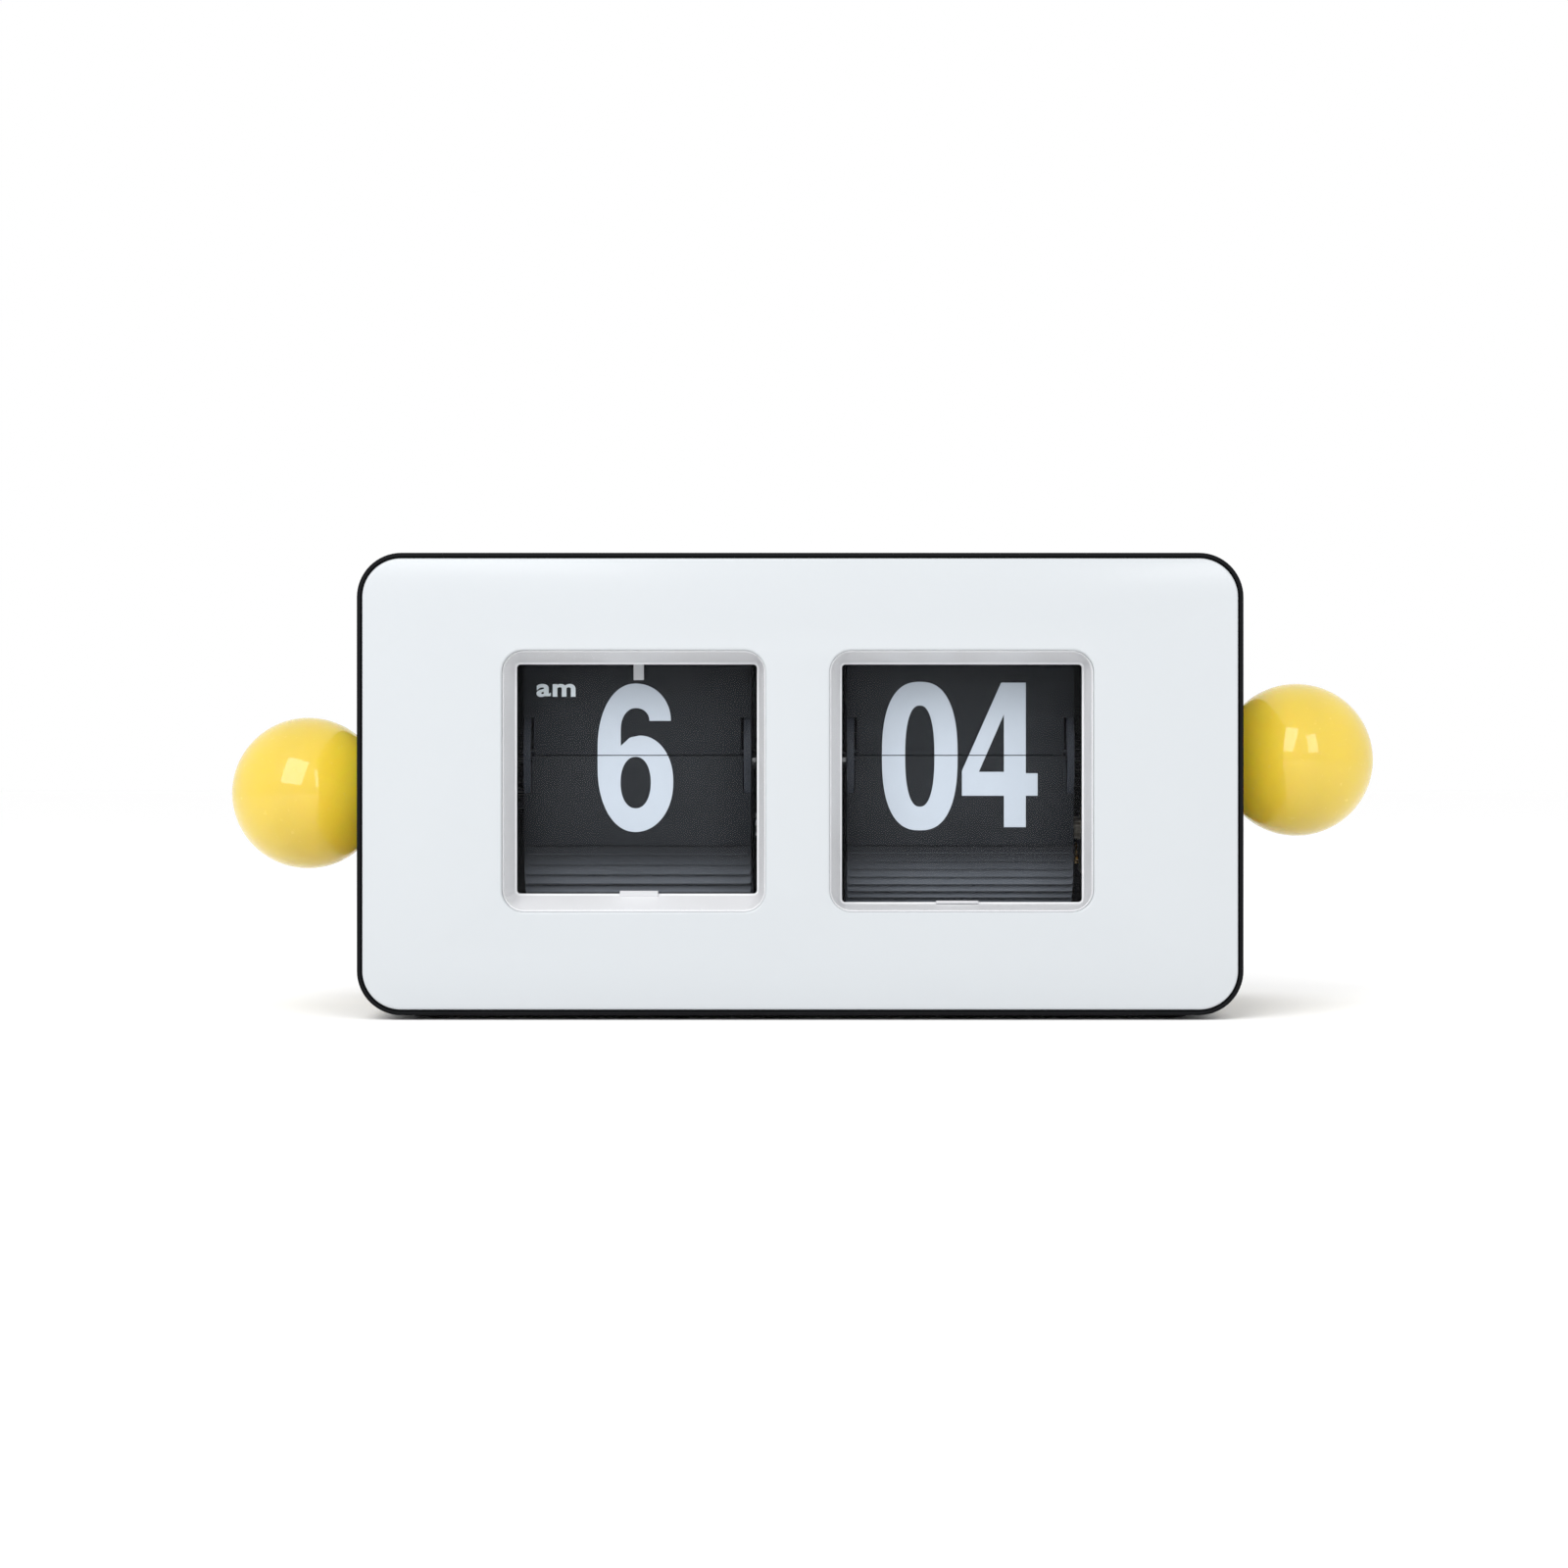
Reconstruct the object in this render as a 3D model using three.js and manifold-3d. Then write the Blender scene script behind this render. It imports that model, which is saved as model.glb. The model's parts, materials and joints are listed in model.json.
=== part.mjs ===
// A flip number clock: two drums of split leaves behind framed windows in a white face panel,
// in a black case with a ball knob at each side and a battery bay in the rear cover.
// Millimetres, +Z up, the face towards -Y. The origin is on the table, mid-way across the case.
import * as THREE from "three";
import { mergeVertices } from "three/addons/utils/BufferGeometryUtils.js";
import Module from "manifold-3d";

const wasm = await Module();
wasm.setup();

// Sides of round pieces
const pinSides = 8;
const shankSides = 10;
const studSides = 12;
const arborSides = 14;
const hingeSides = 16;
const tubeSides = 18;
const cellSides = 20;
const canSides = 28;
const rimSides = 32;

// Case
const fit = 0.3; // gap between fixed pieces that touch, and around turning ones
const bodyWidth = 181.2;
const bodyHeight = 94.5;
const bodyDepth = 80;
const cornerRadius = 9.1;
const wall = 2.2;
const rim = 0.9; // thin front edge of the case around the face panel
const panelThickness = 2;
const panelProud = 0.4;
const panelRelief = 0.05; // panel edge outside the gap to the rim
const footClearance = 0.2; // foot pad to the case floor
const coverThickness = 2.5;
const bossInset = 5;
const bossRadius = 3.2;
const bossLength = 13;
const bossSpread = 64; // height between an upper and a lower boss
const screwRadius = 0.9;
const screwHeadRadius = 2.6;
const screwHeadHeight = 1.2;
const screwLength = 12;
const footRadius = 5;
const footHeight = 1;
const footStud = 1.4;
const bossWebHalf = 1.5;
const bossFloor = 2; // solid end of a boss behind its screw hole
const screwSink = 0.1; // screw head below the back of the cover
const slotHalf = 0.3;
const slotDepth = 0.5;
const footSpreadX = 152;
const footSpreadY = 52;

// Windows
const windowWidth = 53.8;
const windowHeight = 53.3;
const windowRadius = 4.4;
const windowRise = 0.6; // window centres above the middle of the case
const hourWindowX = -34;
const minuteWindowX = 33;
const bezelDepth = 9.5; // from the face to the throat
const bezelWall = 2.4;
const mouthStep = 0.4; // ledge that the lens rests on
const throatWidth = 49.7;
const hourThroatX = -33.8;
const minuteThroatX = 33.5;
const throatTop = 24.75; // above the middle of the case
const hourThroatBottom = 22.7; // below it
const minuteThroatBottom = 24.45;
const throatRadius = 0.7;
const lensThickness = 1.6;
const cutOverlap = 0.01; // one cut into the next

// Leaves and drums
const drumRise = 5.25; // drum axis above the middle of the case
const drumSetback = 38.4; // drum axis behind the face
const hourX = -34.4;
const minuteX = 33.9;
const leafWidth = 48;
const leafReach = 18.15; // pin axis to the far edge
const leafRoot = 0.7; // leaf beyond its pin axis
const nextLift = 0.6; // lower edge of the next leaf above the flipping leaf's pin axis
const leafThickness = 0.3;
const leafCorner = 0.8;
const notchReach = 7.1; // pin axis to the end of the side notch
const notchHalfWidth = 21.9;
const pinOffset = 0.15; // pin axis to the near face of the leaf
const pinRadius = 0.4;
const pinTip = 23.3;
const pinCircle = 17;
const pinStep = 1.8; // height from the lower leaf's pins to the flipping leaf's
const pinLift = 1.7; // flipping leaf's pins above the drum axis
const discRadius = 17.95;
const discThickness = 1.5;
const discFace = 22.5; // inner face of a disc from the middle of its drum
const grooveInner = 16.4;
const grooveOuter = 17.7;
const grooveDepth = 1;
const hubRadius = 6;
const packInner = 16.4;
const packPlay = 0.5; // pack to a disc, round its rim
const packSidePlay = 0.4; // and beside it
const hungPlay = 0.4; // lower leaf's notch outside the flipping leaf's
const pinOverlap = 0.4; // pin into the flipping leaf
const hungPinOverlap = 0.2; // and into the lower leaf

// Shafts and knobs
const shaftRadius = 2;
const journalRadius = 1;
const knobRadius = 16.5;
const knobGap = 0.5; // knob to the side of the case
const knobBoreDepth = 12;
const bushRadius = 3.3;
const bushFlange = 5;
const flangeThickness = 1.5;
const setKnobBack = 5.35; // set arbor behind the drum axis
const arborTail = 1.5; // transfer arbor past its wheel
const idlerCollar = 0.6;
const idlerShoulder = 1; // from the pinion's end to the collar
const rotorTail = 4; // rotor shaft past the chassis plate

// Gears: teeth, module, width
const minutePinion = { teeth: 8, module: 0.7, width: 2.8 };
const transferWheel = { teeth: 32, module: 0.7, width: 1.6 };
const transferPinion = { teeth: 8, module: 0.5, width: 2.4 };
const hourWheel = { teeth: 48, module: 0.5, width: 1.8 };
const driveWheel = { teeth: 40, module: 0.6, width: 1.8 };
const idlerPinion = { teeth: 8, module: 0.6, width: 2.4 };
const idlerWheel = { teeth: 40, module: 0.5, width: 1.6 };
const motorPinion = { teeth: 8, module: 0.5, width: 2.4 };
const setWheel = { teeth: 20, module: 0.6, width: 1.6 };
const setPinion = { teeth: 10, module: 0.6, width: 2.8 };
const addendum = 0.8; // in modules
const dedendum = 1.1;
const tipShare = 0.1; // half the width of a tooth at its tip, in tooth pitches
const rootShare = 0.25;
const stepGap = 0.7; // side clearance between a gear and what turns beside it
const pinionSetback = 3; // minute pinion further from its drum
const setWheelSetback = 0.4;

// Chassis
const sidePlate = 2;
const middlePlate = 3;
const plateGap = 8.1; // from a drum's outer face to the inner face of its side plate
const plateFront = 20; // plate edges from the drum axis
const plateRear = 19.6;
const plateTop = 30.5;
const plateCorner = 3;
const plateInset = 2.6; // left plate inside the hour drum's side clearance
const basePlate = 1.5;
const topBar = 2;
const topBarHalf = 8;
const catchWidth = 2.15;
const catchThickness = 0.3;
const catchGap = 0.35; // catch finger to the front of the leaf
const catchX = -34.1;
const catchTip = 3.15; // finger below the top edge of the hour leaf

// Motor
const motorRadius = 12;
const motorLength = 15.7;
const motorBore = 5;
const terminalX = [3, 8]; // from the front of the can
const terminalRise = [-2, 3]; // from the rim of the can
const terminalHalf = 4;
const motorTurn = -Math.PI / 6; // direction of the motor from the idler

// Battery bay
const batteryRadius = 7.1;
const batteryLength = 49.3;
const nubRadius = 2.7;
const nubLength = 1.2;
const batteryPitch = 15.2;
const batteryPlay = 0.5;
const bayLift = 5.4; // bay opening above the case floor
const bayWall = 1.6;
const baySideWall = 2;
const bayDepth = 18; // from the rear face to the bay's floor
const contactThickness = 0.6;
const contactHalf = 5;
const springLength = 6.1;
const springRadius = 3;
const springWire = 0.45;
const springTurns = 3;
const springSteps = 8; // sections in a turn
const doorThickness = 1.6;
const doorPin = 0.5;
const doorPinPlay = 0.2;
const doorPinLength = 1.4;
const doorRecess = 0.2; // door face below the cover's face

// Places that follow from the sizes
const frontY = -bodyDepth / 2;
const rearY = bodyDepth / 2;
const bodyZ = footHeight + bodyHeight / 2;
const floorZ = footHeight + wall;
const sideX = bodyWidth / 2;
const innerX = sideX - wall;
const coverY = rearY - coverThickness;
const panelBack = frontY + panelThickness;
const bezelFront = panelBack + fit;
const throatY = frontY + bezelDepth;
const windowZ = bodyZ + windowRise;
const drumY = frontY + drumSetback;
const drumZ = bodyZ + drumRise;
const leafHalf = leafWidth / 2;
const flipY = drumY - pinCircle;
const flipZ = drumZ + pinLift;
const leafFront = flipY + pinOffset;
const lowerPinZ = flipZ - pinStep;
const knobX = sideX + knobGap + knobRadius;
const leftPlateX = hourX - leafHalf - plateGap + plateInset - sidePlate;
const rightPlateX = minuteX + leafHalf + plateGap;
const baseZ = floorZ + fit;
const plateBottom = baseZ + basePlate + fit;
const plateCeiling = drumZ + plateTop;
const barZ = plateCeiling + fit;
const transferZ = drumZ - spacing(minutePinion, transferWheel);
const idlerZ = drumZ - spacing(driveWheel, idlerPinion);
const motorReach = spacing(idlerWheel, motorPinion);
const motorY = drumY + motorReach * Math.cos(motorTurn);
const motorZ = idlerZ + motorReach * Math.sin(motorTurn);
const setReach = spacing(setWheel, setPinion);
const setY = drumY + setKnobBack;
const setZ = drumZ - Math.sqrt(setReach ** 2 - setKnobBack ** 2);
const setTurn = Math.atan2(setZ - drumZ, setKnobBack);
const bayBottom = floorZ + bayLift;
const bayTop = bayBottom + 2 * (batteryPlay + batteryRadius) + batteryPitch;
const bayHalf = (fit + springLength + fit + batteryLength + nubLength + fit + contactThickness + fit) / 2;
const bayFloor = rearY - bayDepth;
const batteryY = bayFloor + batteryPlay + batteryRadius;
const lowerBatteryZ = bayBottom + batteryPlay + batteryRadius;
const upperBatteryZ = lowerBatteryZ + batteryPitch;
const doorY = rearY - doorRecess - doorThickness / 2;
const doorZ = bayBottom + fit + doorThickness / 2;

// Materials
const paint = (color, roughness, metalness = 0) =>
  new THREE.MeshStandardMaterial({ color, roughness, metalness });
const caseBlack = paint(0x17181a, 0.6);
const panelWhite = paint(0xe9edf1, 0.25);
const bezelGrey = paint(0xd6d8dc, 0.45);
const lensClear = new THREE.MeshStandardMaterial({
  color: 0xffffff,
  roughness: 0.05,
  transparent: true,
  opacity: 0.15,
});
const leafBlack = paint(0x2b2e33, 0.55);
const knobYellow = paint(0xf2d94a, 0.5);
const steel = paint(0xb9bcc0, 0.35, 1);
const nickel = paint(0xcfcfc8, 0.3, 1);
const brass = paint(0xc8a24e, 0.35, 1);
const gearWhite = paint(0xe6e2d6, 0.5);
const gearBlack = paint(0x222325, 0.5);
const drumGrey = paint(0x4a4f57, 0.5);
const catchGrey = paint(0xb4b8be, 0.5);
const motorSilver = paint(0x9a9ca0, 0.4, 1);
const batteryGreen = paint(0x2f6b46, 0.4);
const rubber = paint(0x1b1b1c, 0.9);

// Solids
function solid(geometry) {
  geometry.deleteAttribute("normal");
  geometry.deleteAttribute("uv");
  const merged = mergeVertices(geometry, 1e-4);
  const mesh = new wasm.Mesh({
    numProp: 3,
    vertProperties: merged.attributes.position.array,
    triVerts: new Uint32Array(merged.index.array),
  });
  return new wasm.Manifold(mesh);
}

function surface(shape) {
  const mesh = shape.getMesh();
  const geometry = new THREE.BufferGeometry();
  geometry.setAttribute("position", new THREE.BufferAttribute(mesh.vertProperties, 3));
  geometry.setIndex(new THREE.BufferAttribute(mesh.triVerts, 1));
  const faceted = geometry.toNonIndexed();
  faceted.computeVertexNormals();
  return faceted;
}

function block([x0, x1], [y0, y1], [z0, z1]) {
  const geometry = new THREE.BoxGeometry(x1 - x0, y1 - y0, z1 - z0);
  geometry.translate((x0 + x1) / 2, (y0 + y1) / 2, (z0 + z1) / 2);
  return solid(geometry);
}

function rodX(radius, x0, x1, y = 0, z = 0, sides = arborSides) {
  const geometry = new THREE.CylinderGeometry(radius, radius, x1 - x0, sides);
  geometry.rotateZ(-Math.PI / 2);
  geometry.translate((x0 + x1) / 2, y, z);
  return solid(geometry);
}

function rodY(radius, y0, y1, x = 0, z = 0, sides = studSides) {
  const geometry = new THREE.CylinderGeometry(radius, radius, y1 - y0, sides);
  geometry.translate(x, (y0 + y1) / 2, z);
  return solid(geometry);
}

function rodZ(radius, z0, z1, x = 0, y = 0, sides = arborSides) {
  const geometry = new THREE.CylinderGeometry(radius, radius, z1 - z0, sides);
  geometry.rotateX(Math.PI / 2);
  geometry.translate(x, y, (z0 + z1) / 2);
  return solid(geometry);
}

// A flat outline drawn in y and z, thickened from x0 to x1.
function slabX(shape, x0, x1, curveSegments = 12) {
  const geometry = new THREE.ExtrudeGeometry(shape, { depth: x1 - x0, bevelEnabled: false, curveSegments });
  const turned = new THREE.Matrix4().makeBasis(
    new THREE.Vector3(0, 1, 0),
    new THREE.Vector3(0, 0, 1),
    new THREE.Vector3(1, 0, 0),
  );
  geometry.applyMatrix4(turned);
  geometry.translate(x0, 0, 0);
  return solid(geometry);
}

// A flat outline drawn in x and z, thickened from y0 to y1.
function slabY(shape, y0, y1, curveSegments = 3) {
  const geometry = new THREE.ExtrudeGeometry(shape, { depth: y1 - y0, bevelEnabled: false, curveSegments });
  geometry.rotateX(Math.PI / 2);
  geometry.translate(0, y1, 0);
  return solid(geometry);
}

// A profile of [radius, x] points turned about the X axis.
function turnX(profile, sides = 30) {
  const geometry = new THREE.LatheGeometry(profile.map(([r, x]) => new THREE.Vector2(r, x)), sides);
  geometry.rotateZ(-Math.PI / 2);
  return solid(geometry);
}

function roundedRect(width, height, radius, x = 0, z = 0) {
  const w = width / 2 - radius;
  const h = height / 2 - radius;
  const shape = new THREE.Shape();
  shape.absarc(x + w, z + h, radius, 0, Math.PI / 2);
  shape.absarc(x - w, z + h, radius, Math.PI / 2, Math.PI);
  shape.absarc(x - w, z - h, radius, Math.PI, 1.5 * Math.PI);
  shape.absarc(x + w, z - h, radius, 1.5 * Math.PI, 2 * Math.PI);
  return shape;
}

// A tapered solid between two rounded rectangles, one at y0 and one at y1.
function funnel(front, y0, back, y1) {
  const ringAt = (shape, y) => shape.getPoints(3).slice(0, -1).map((p) => [p.x, y, p.y]);
  const rings = [ringAt(front, y0), ringAt(back, y1)];
  const count = rings[0].length;
  const points = rings.flat(2);
  const index = [];
  for (let i = 0; i < count; i++) {
    const next = (i + 1) % count;
    index.push(i, i + count, next, next, i + count, next + count);
  }
  for (let i = 1; i < count - 1; i++) {
    index.push(0, i, i + 1);
    index.push(count, count + i + 1, count + i);
  }
  const geometry = new THREE.BufferGeometry();
  geometry.setAttribute("position", new THREE.BufferAttribute(new Float32Array(points), 3));
  geometry.setIndex(index);
  return solid(geometry);
}

function spacing(first, second) {
  return (first.teeth * first.module + second.teeth * second.module) / 2;
}

// A gear from x = 0 to its width, with one tooth centred at the angle toothAt.
function gear({ teeth, module, width }, toothAt, boreRadius = 0) {
  const pitchRadius = (teeth * module) / 2;
  const tip = pitchRadius + addendum * module;
  const root = pitchRadius - dedendum * module;
  const step = (2 * Math.PI) / teeth;
  const shape = new THREE.Shape();
  const corner = (radius, angle) => new THREE.Vector2(radius * Math.cos(angle), radius * Math.sin(angle));
  const corners = [];
  for (let i = 0; i < teeth; i++) {
    const middle = toothAt + i * step;
    corners.push(corner(root, middle - rootShare * step));
    corners.push(corner(tip, middle - tipShare * step));
    corners.push(corner(tip, middle + tipShare * step));
    corners.push(corner(root, middle + rootShare * step));
  }
  shape.setFromPoints(corners);
  const blank = slabX(shape, 0, width);
  return boreRadius ? blank.subtract(rodX(boreRadius, -1, width + 1)) : blank;
}

const halfTooth = ({ teeth }) => Math.PI / teeth;
const up = Math.PI / 2;
const down = -Math.PI / 2;

function add(parent, name, shape, material, x = 0, y = 0, z = 0) {
  const mesh = new THREE.Mesh(surface(shape), material);
  mesh.name = name;
  mesh.position.set(x, y, z);
  parent.add(mesh);
  return mesh;
}

function groupAt(parent, x, y, z) {
  const group = new THREE.Group();
  group.position.set(x, y, z);
  parent.add(group);
  return group;
}

const clock = new THREE.Group();

// Case, panel and cover
const bossX = innerX - bossInset;
const bossPlaces = [-1, 1].flatMap((sx) =>
  [-1, 1].map((sz) => [sx * bossX, bodyZ + (sz * bossSpread) / 2]),
);
const footPlaces = [-1, 1].flatMap((sx) =>
  [-1, 1].map((sy) => [(sx * footSpreadX) / 2, (sy * footSpreadY) / 2]),
);

function caseShell() {
  const shellFront = frontY + panelProud;
  const outline = (inset) =>
    roundedRect(bodyWidth - 2 * inset, bodyHeight - 2 * inset, cornerRadius - inset, 0, bodyZ);
  let shell = slabY(outline(0), shellFront, rearY);
  shell = shell.subtract(slabY(outline(wall), shellFront - 1, rearY + 1));
  shell = shell.subtract(slabY(outline(rim), shellFront - 1, bezelFront));
  const bossRear = coverY - fit;
  for (const [x, z] of bossPlaces) {
    const wallX = Math.sign(x) * (innerX + wall / 2);
    const web = block(
      [Math.min(x, wallX), Math.max(x, wallX)],
      [bossRear - bossLength, bossRear],
      [z - bossWebHalf, z + bossWebHalf],
    );
    shell = shell.add(rodY(bossRadius, bossRear - bossLength, bossRear, x, z)).add(web);
    shell = shell.subtract(rodY(screwRadius + fit, bossRear - bossLength + bossFloor, bossRear + 1, x, z));
  }
  for (const [x, y] of footPlaces) {
    shell = shell.subtract(rodZ(footStud + fit, 0, floorZ + 1, x, y));
  }
  shell = shell.subtract(rodX(bushRadius + fit, innerX - 1, sideX + 1, drumY, drumZ));
  return shell.subtract(rodX(bushRadius + fit, -sideX - 1, -innerX + 1, setY, setZ));
}

function facePanel() {
  const inset = rim + fit - panelRelief;
  const outline = roundedRect(
    bodyWidth - 2 * inset,
    bodyHeight - 2 * inset,
    cornerRadius - inset,
    0,
    bodyZ,
  );
  let panel = slabY(outline, frontY, panelBack);
  for (const x of [hourWindowX, minuteWindowX]) {
    const hole = roundedRect(windowWidth, windowHeight, windowRadius, x, windowZ);
    panel = panel.subtract(slabY(hole, frontY - 1, panelBack + 1));
  }
  return panel;
}

function bezel(windowX, throatX, throatBottom) {
  const outer = roundedRect(
    windowWidth + 2 * bezelWall,
    windowHeight + 2 * bezelWall,
    windowRadius + bezelWall,
    windowX,
    windowZ,
  );
  const mouth = roundedRect(
    windowWidth - 2 * mouthStep,
    windowHeight - 2 * mouthStep,
    windowRadius - mouthStep,
    windowX,
    windowZ,
  );
  const throatHeight = throatTop + throatBottom;
  const throatZ = bodyZ + (throatTop - throatBottom) / 2;
  const throat = roundedRect(throatWidth, throatHeight, throatRadius, throatX, throatZ);
  const frame = slabY(outer, bezelFront, throatY);
  const entry = slabY(mouth, bezelFront - 1, bezelFront + cutOverlap);
  const passage = slabY(throat, throatY - 1, throatY + 1).add(entry);
  return frame.subtract(funnel(mouth, bezelFront, throat, throatY)).subtract(passage);
}

function lens(windowX) {
  const outline = roundedRect(
    windowWidth - 2 * fit,
    windowHeight - 2 * fit,
    windowRadius - fit,
    windowX,
    windowZ,
  );
  return slabY(outline, bezelFront - fit - lensThickness, bezelFront - fit);
}

function rearCover() {
  const inset = wall + fit;
  const width = bodyWidth - 2 * inset;
  const outline = roundedRect(width, bodyHeight - 2 * inset, cornerRadius - inset, 0, bodyZ);
  const box = (side, bottom, floor) =>
    block(
      [-bayHalf - side, bayHalf + side],
      [bayFloor - floor, rearY],
      [bayBottom - bottom, bayTop + bottom],
    );
  let cover = slabY(outline, coverY, rearY).add(box(baySideWall, bayWall, bayWall));
  const hollow = block([-bayHalf, bayHalf], [bayFloor, rearY + 1], [bayBottom, bayTop]);
  cover = cover.subtract(hollow);
  const pinReach = bayHalf - fit + doorPinLength + fit;
  cover = cover.subtract(rodX(doorPin + doorPinPlay, -pinReach, pinReach, doorY, doorZ, studSides));
  for (const [x, z] of bossPlaces) {
    cover = cover.subtract(rodY(screwRadius + fit, coverY - 1, rearY + 1, x, z));
    cover = cover.subtract(rodY(screwHeadRadius + fit, rearY - screwHeadHeight - fit, rearY + 1, x, z));
  }
  return cover;
}

function coverScrew() {
  const head = rodY(screwHeadRadius, -screwHeadHeight, 0);
  const shank = rodY(screwRadius, -screwHeadHeight - screwLength, -screwHeadHeight / 2, 0, 0, shankSides);
  const slot = block([-screwHeadRadius - 1, screwHeadRadius + 1], [-slotDepth, 1], [-slotHalf, slotHalf]);
  return head.add(shank).subtract(slot);
}

function foot() {
  const pad = rodZ(footRadius, 0, footHeight - footClearance);
  return pad.add(rodZ(footStud, 0, floorZ, 0, 0, studSides));
}

add(clock, "case_shell", caseShell(), caseBlack);
add(clock, "face_panel", facePanel(), panelWhite);
add(clock, "hour_bezel", bezel(hourWindowX, hourThroatX, hourThroatBottom), bezelGrey);
add(clock, "minute_bezel", bezel(minuteWindowX, minuteThroatX, minuteThroatBottom), bezelGrey);
add(clock, "hour_lens", lens(hourWindowX), lensClear);
add(clock, "minute_lens", lens(minuteWindowX), lensClear);
add(clock, "rear_cover", rearCover(), caseBlack);
bossPlaces.forEach(([x, z], i) => {
  add(clock, "cover_screw_" + (i + 1), coverScrew(), steel, x, rearY - screwSink, z);
});
footPlaces.forEach(([x, y], i) => {
  add(clock, "foot_" + (i + 1), foot(), rubber, x, y, 0);
});

// Leaves
function leaf(halfNotch, pinFrom, hasPins) {
  const z0 = hasPins ? -leafRoot : nextLift;
  const shape = new THREE.Shape();
  shape.moveTo(-halfNotch, z0);
  shape.lineTo(halfNotch, z0);
  shape.lineTo(halfNotch, notchReach);
  shape.lineTo(leafHalf, notchReach);
  shape.absarc(leafHalf - leafCorner, leafReach - leafCorner, leafCorner, 0, Math.PI / 2);
  shape.absarc(-leafHalf + leafCorner, leafReach - leafCorner, leafCorner, Math.PI / 2, Math.PI);
  shape.lineTo(-leafHalf, notchReach);
  shape.lineTo(-halfNotch, notchReach);
  const sheet = slabY(shape, pinOffset, pinOffset + leafThickness, 3);
  if (!hasPins) return sheet;
  const pin = (from, to) => rodX(pinRadius, from, to, 0, 0, pinSides);
  return sheet.add(pin(pinFrom, pinTip)).add(pin(-pinTip, -pinFrom));
}

// The leaves that stand behind the flipping one and hang behind the lower one, as one block.
function leafPack() {
  const outer = Math.hypot(pinCircle, leafReach);
  const upperFront = leafFront + 2 * (leafThickness + fit) - drumY;
  const lowerFront = leafFront + leafThickness + fit - drumY;
  const hangTurn = Math.acos(lowerFront / pinCircle);
  const shape = new THREE.Shape();
  shape.moveTo(upperFront, 0);
  shape.lineTo(upperFront, Math.sqrt(outer ** 2 - upperFront ** 2));
  shape.absarc(0, 0, outer, Math.acos(upperFront / outer), -Math.acos(pinCircle / outer), true);
  shape.absarc(0, -leafReach, pinCircle, 0, -hangTurn, true);
  shape.lineTo(lowerFront, 0);
  let pack = slabX(shape, -leafHalf, leafHalf, 10);
  const sideGap = discFace - packSidePlay;
  for (const [x0, x1] of [[-leafHalf - 1, -sideGap], [sideGap, leafHalf + 1]]) {
    pack = pack.subtract(rodX(discRadius + packPlay, x0, x1, 0, 0, rimSides));
  }
  return pack.subtract(rodX(packInner, -leafHalf - 1, leafHalf + 1, 0, 0, canSides));
}

const hungNotch = notchHalfWidth + hungPlay;
for (const [unit, x] of [["hour", hourX], ["minute", minuteX]]) {
  const front = leaf(notchHalfWidth, notchHalfWidth - pinOverlap, true);
  const hung = leaf(hungNotch, hungNotch - hungPinOverlap, true);
  const next = leaf(notchHalfWidth, 0, false);
  add(clock, unit + "_front_leaf", front, leafBlack, x, flipY, flipZ);
  add(clock, unit + "_next_leaf", next, leafBlack, x, flipY + leafThickness + fit, flipZ);
  const lower = add(clock, unit + "_lower_leaf", hung, leafBlack, x, 0, lowerPinZ);
  lower.scale.z = -1;
  lower.position.y = flipY;
  add(clock, unit + "_leaf_pack", leafPack(), leafBlack, x, drumY, drumZ);
}

// Drums, each built along its own axis
function disc() {
  const rimX = discThickness;
  return turnX([
    [shaftRadius + fit, 0],
    [discRadius, 0],
    [discRadius, rimX],
    [grooveOuter, rimX],
    [grooveOuter, rimX - grooveDepth],
    [grooveInner, rimX - grooveDepth],
    [grooveInner, rimX],
    [shaftRadius + fit, rimX],
    [shaftRadius + fit, 0],
  ]);
}

function tube(outer, inner, x0, x1, sides = tubeSides) {
  return rodX(outer, x0, x1, 0, 0, sides).subtract(rodX(inner, x0 - 1, x1 + 1, 0, 0, arborSides));
}

function addDrum(unit, x) {
  const drum = groupAt(clock, x, drumY, drumZ);
  const outerFace = discFace + discThickness;
  add(drum, unit + "_disc_left", disc(), drumGrey, -outerFace);
  add(drum, unit + "_disc_right", disc(), drumGrey, outerFace).rotation.y = Math.PI;
  add(drum, unit + "_hub", tube(hubRadius, shaftRadius + fit, -discFace + fit, discFace - fit), drumGrey);
}

addDrum("minute", minuteX);
addDrum("hour", hourX);

const train = groupAt(clock, 0, drumY, drumZ);
const minuteLeft = minuteX - leafHalf;
const minuteRight = minuteX + leafHalf;
const hourLeft = hourX - leafHalf;
const hourRight = hourX + leafHalf;
const minutePinionX = minuteLeft - stepGap - minutePinion.width - pinionSetback;
const transferWheelX = minutePinionX + (minutePinion.width - transferWheel.width) / 2;
const transferPinionX = hourRight + stepGap;
const hourWheelX = transferPinionX + (transferPinion.width - hourWheel.width) / 2;
const driveWheelX = minuteRight + stepGap;
const idlerPinionX = driveWheelX + (driveWheel.width - idlerPinion.width) / 2;
const idlerWheelX = idlerPinionX + idlerPinion.width + fit;
const motorPinionX = idlerWheelX + (idlerWheel.width - motorPinion.width) / 2;
const setWheelX = hourLeft - stepGap - setWheel.width - setWheelSetback;
const setPinionX = setWheelX + (setWheel.width - setPinion.width) / 2;
const knobEnd = sideX + knobGap + knobBoreDepth - fit;

function minuteShaft() {
  const shoulder = minutePinionX + minutePinion.width + fit;
  return rodX(journalRadius, fit, shoulder + 1).add(rodX(shaftRadius, shoulder, knobEnd));
}

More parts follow.
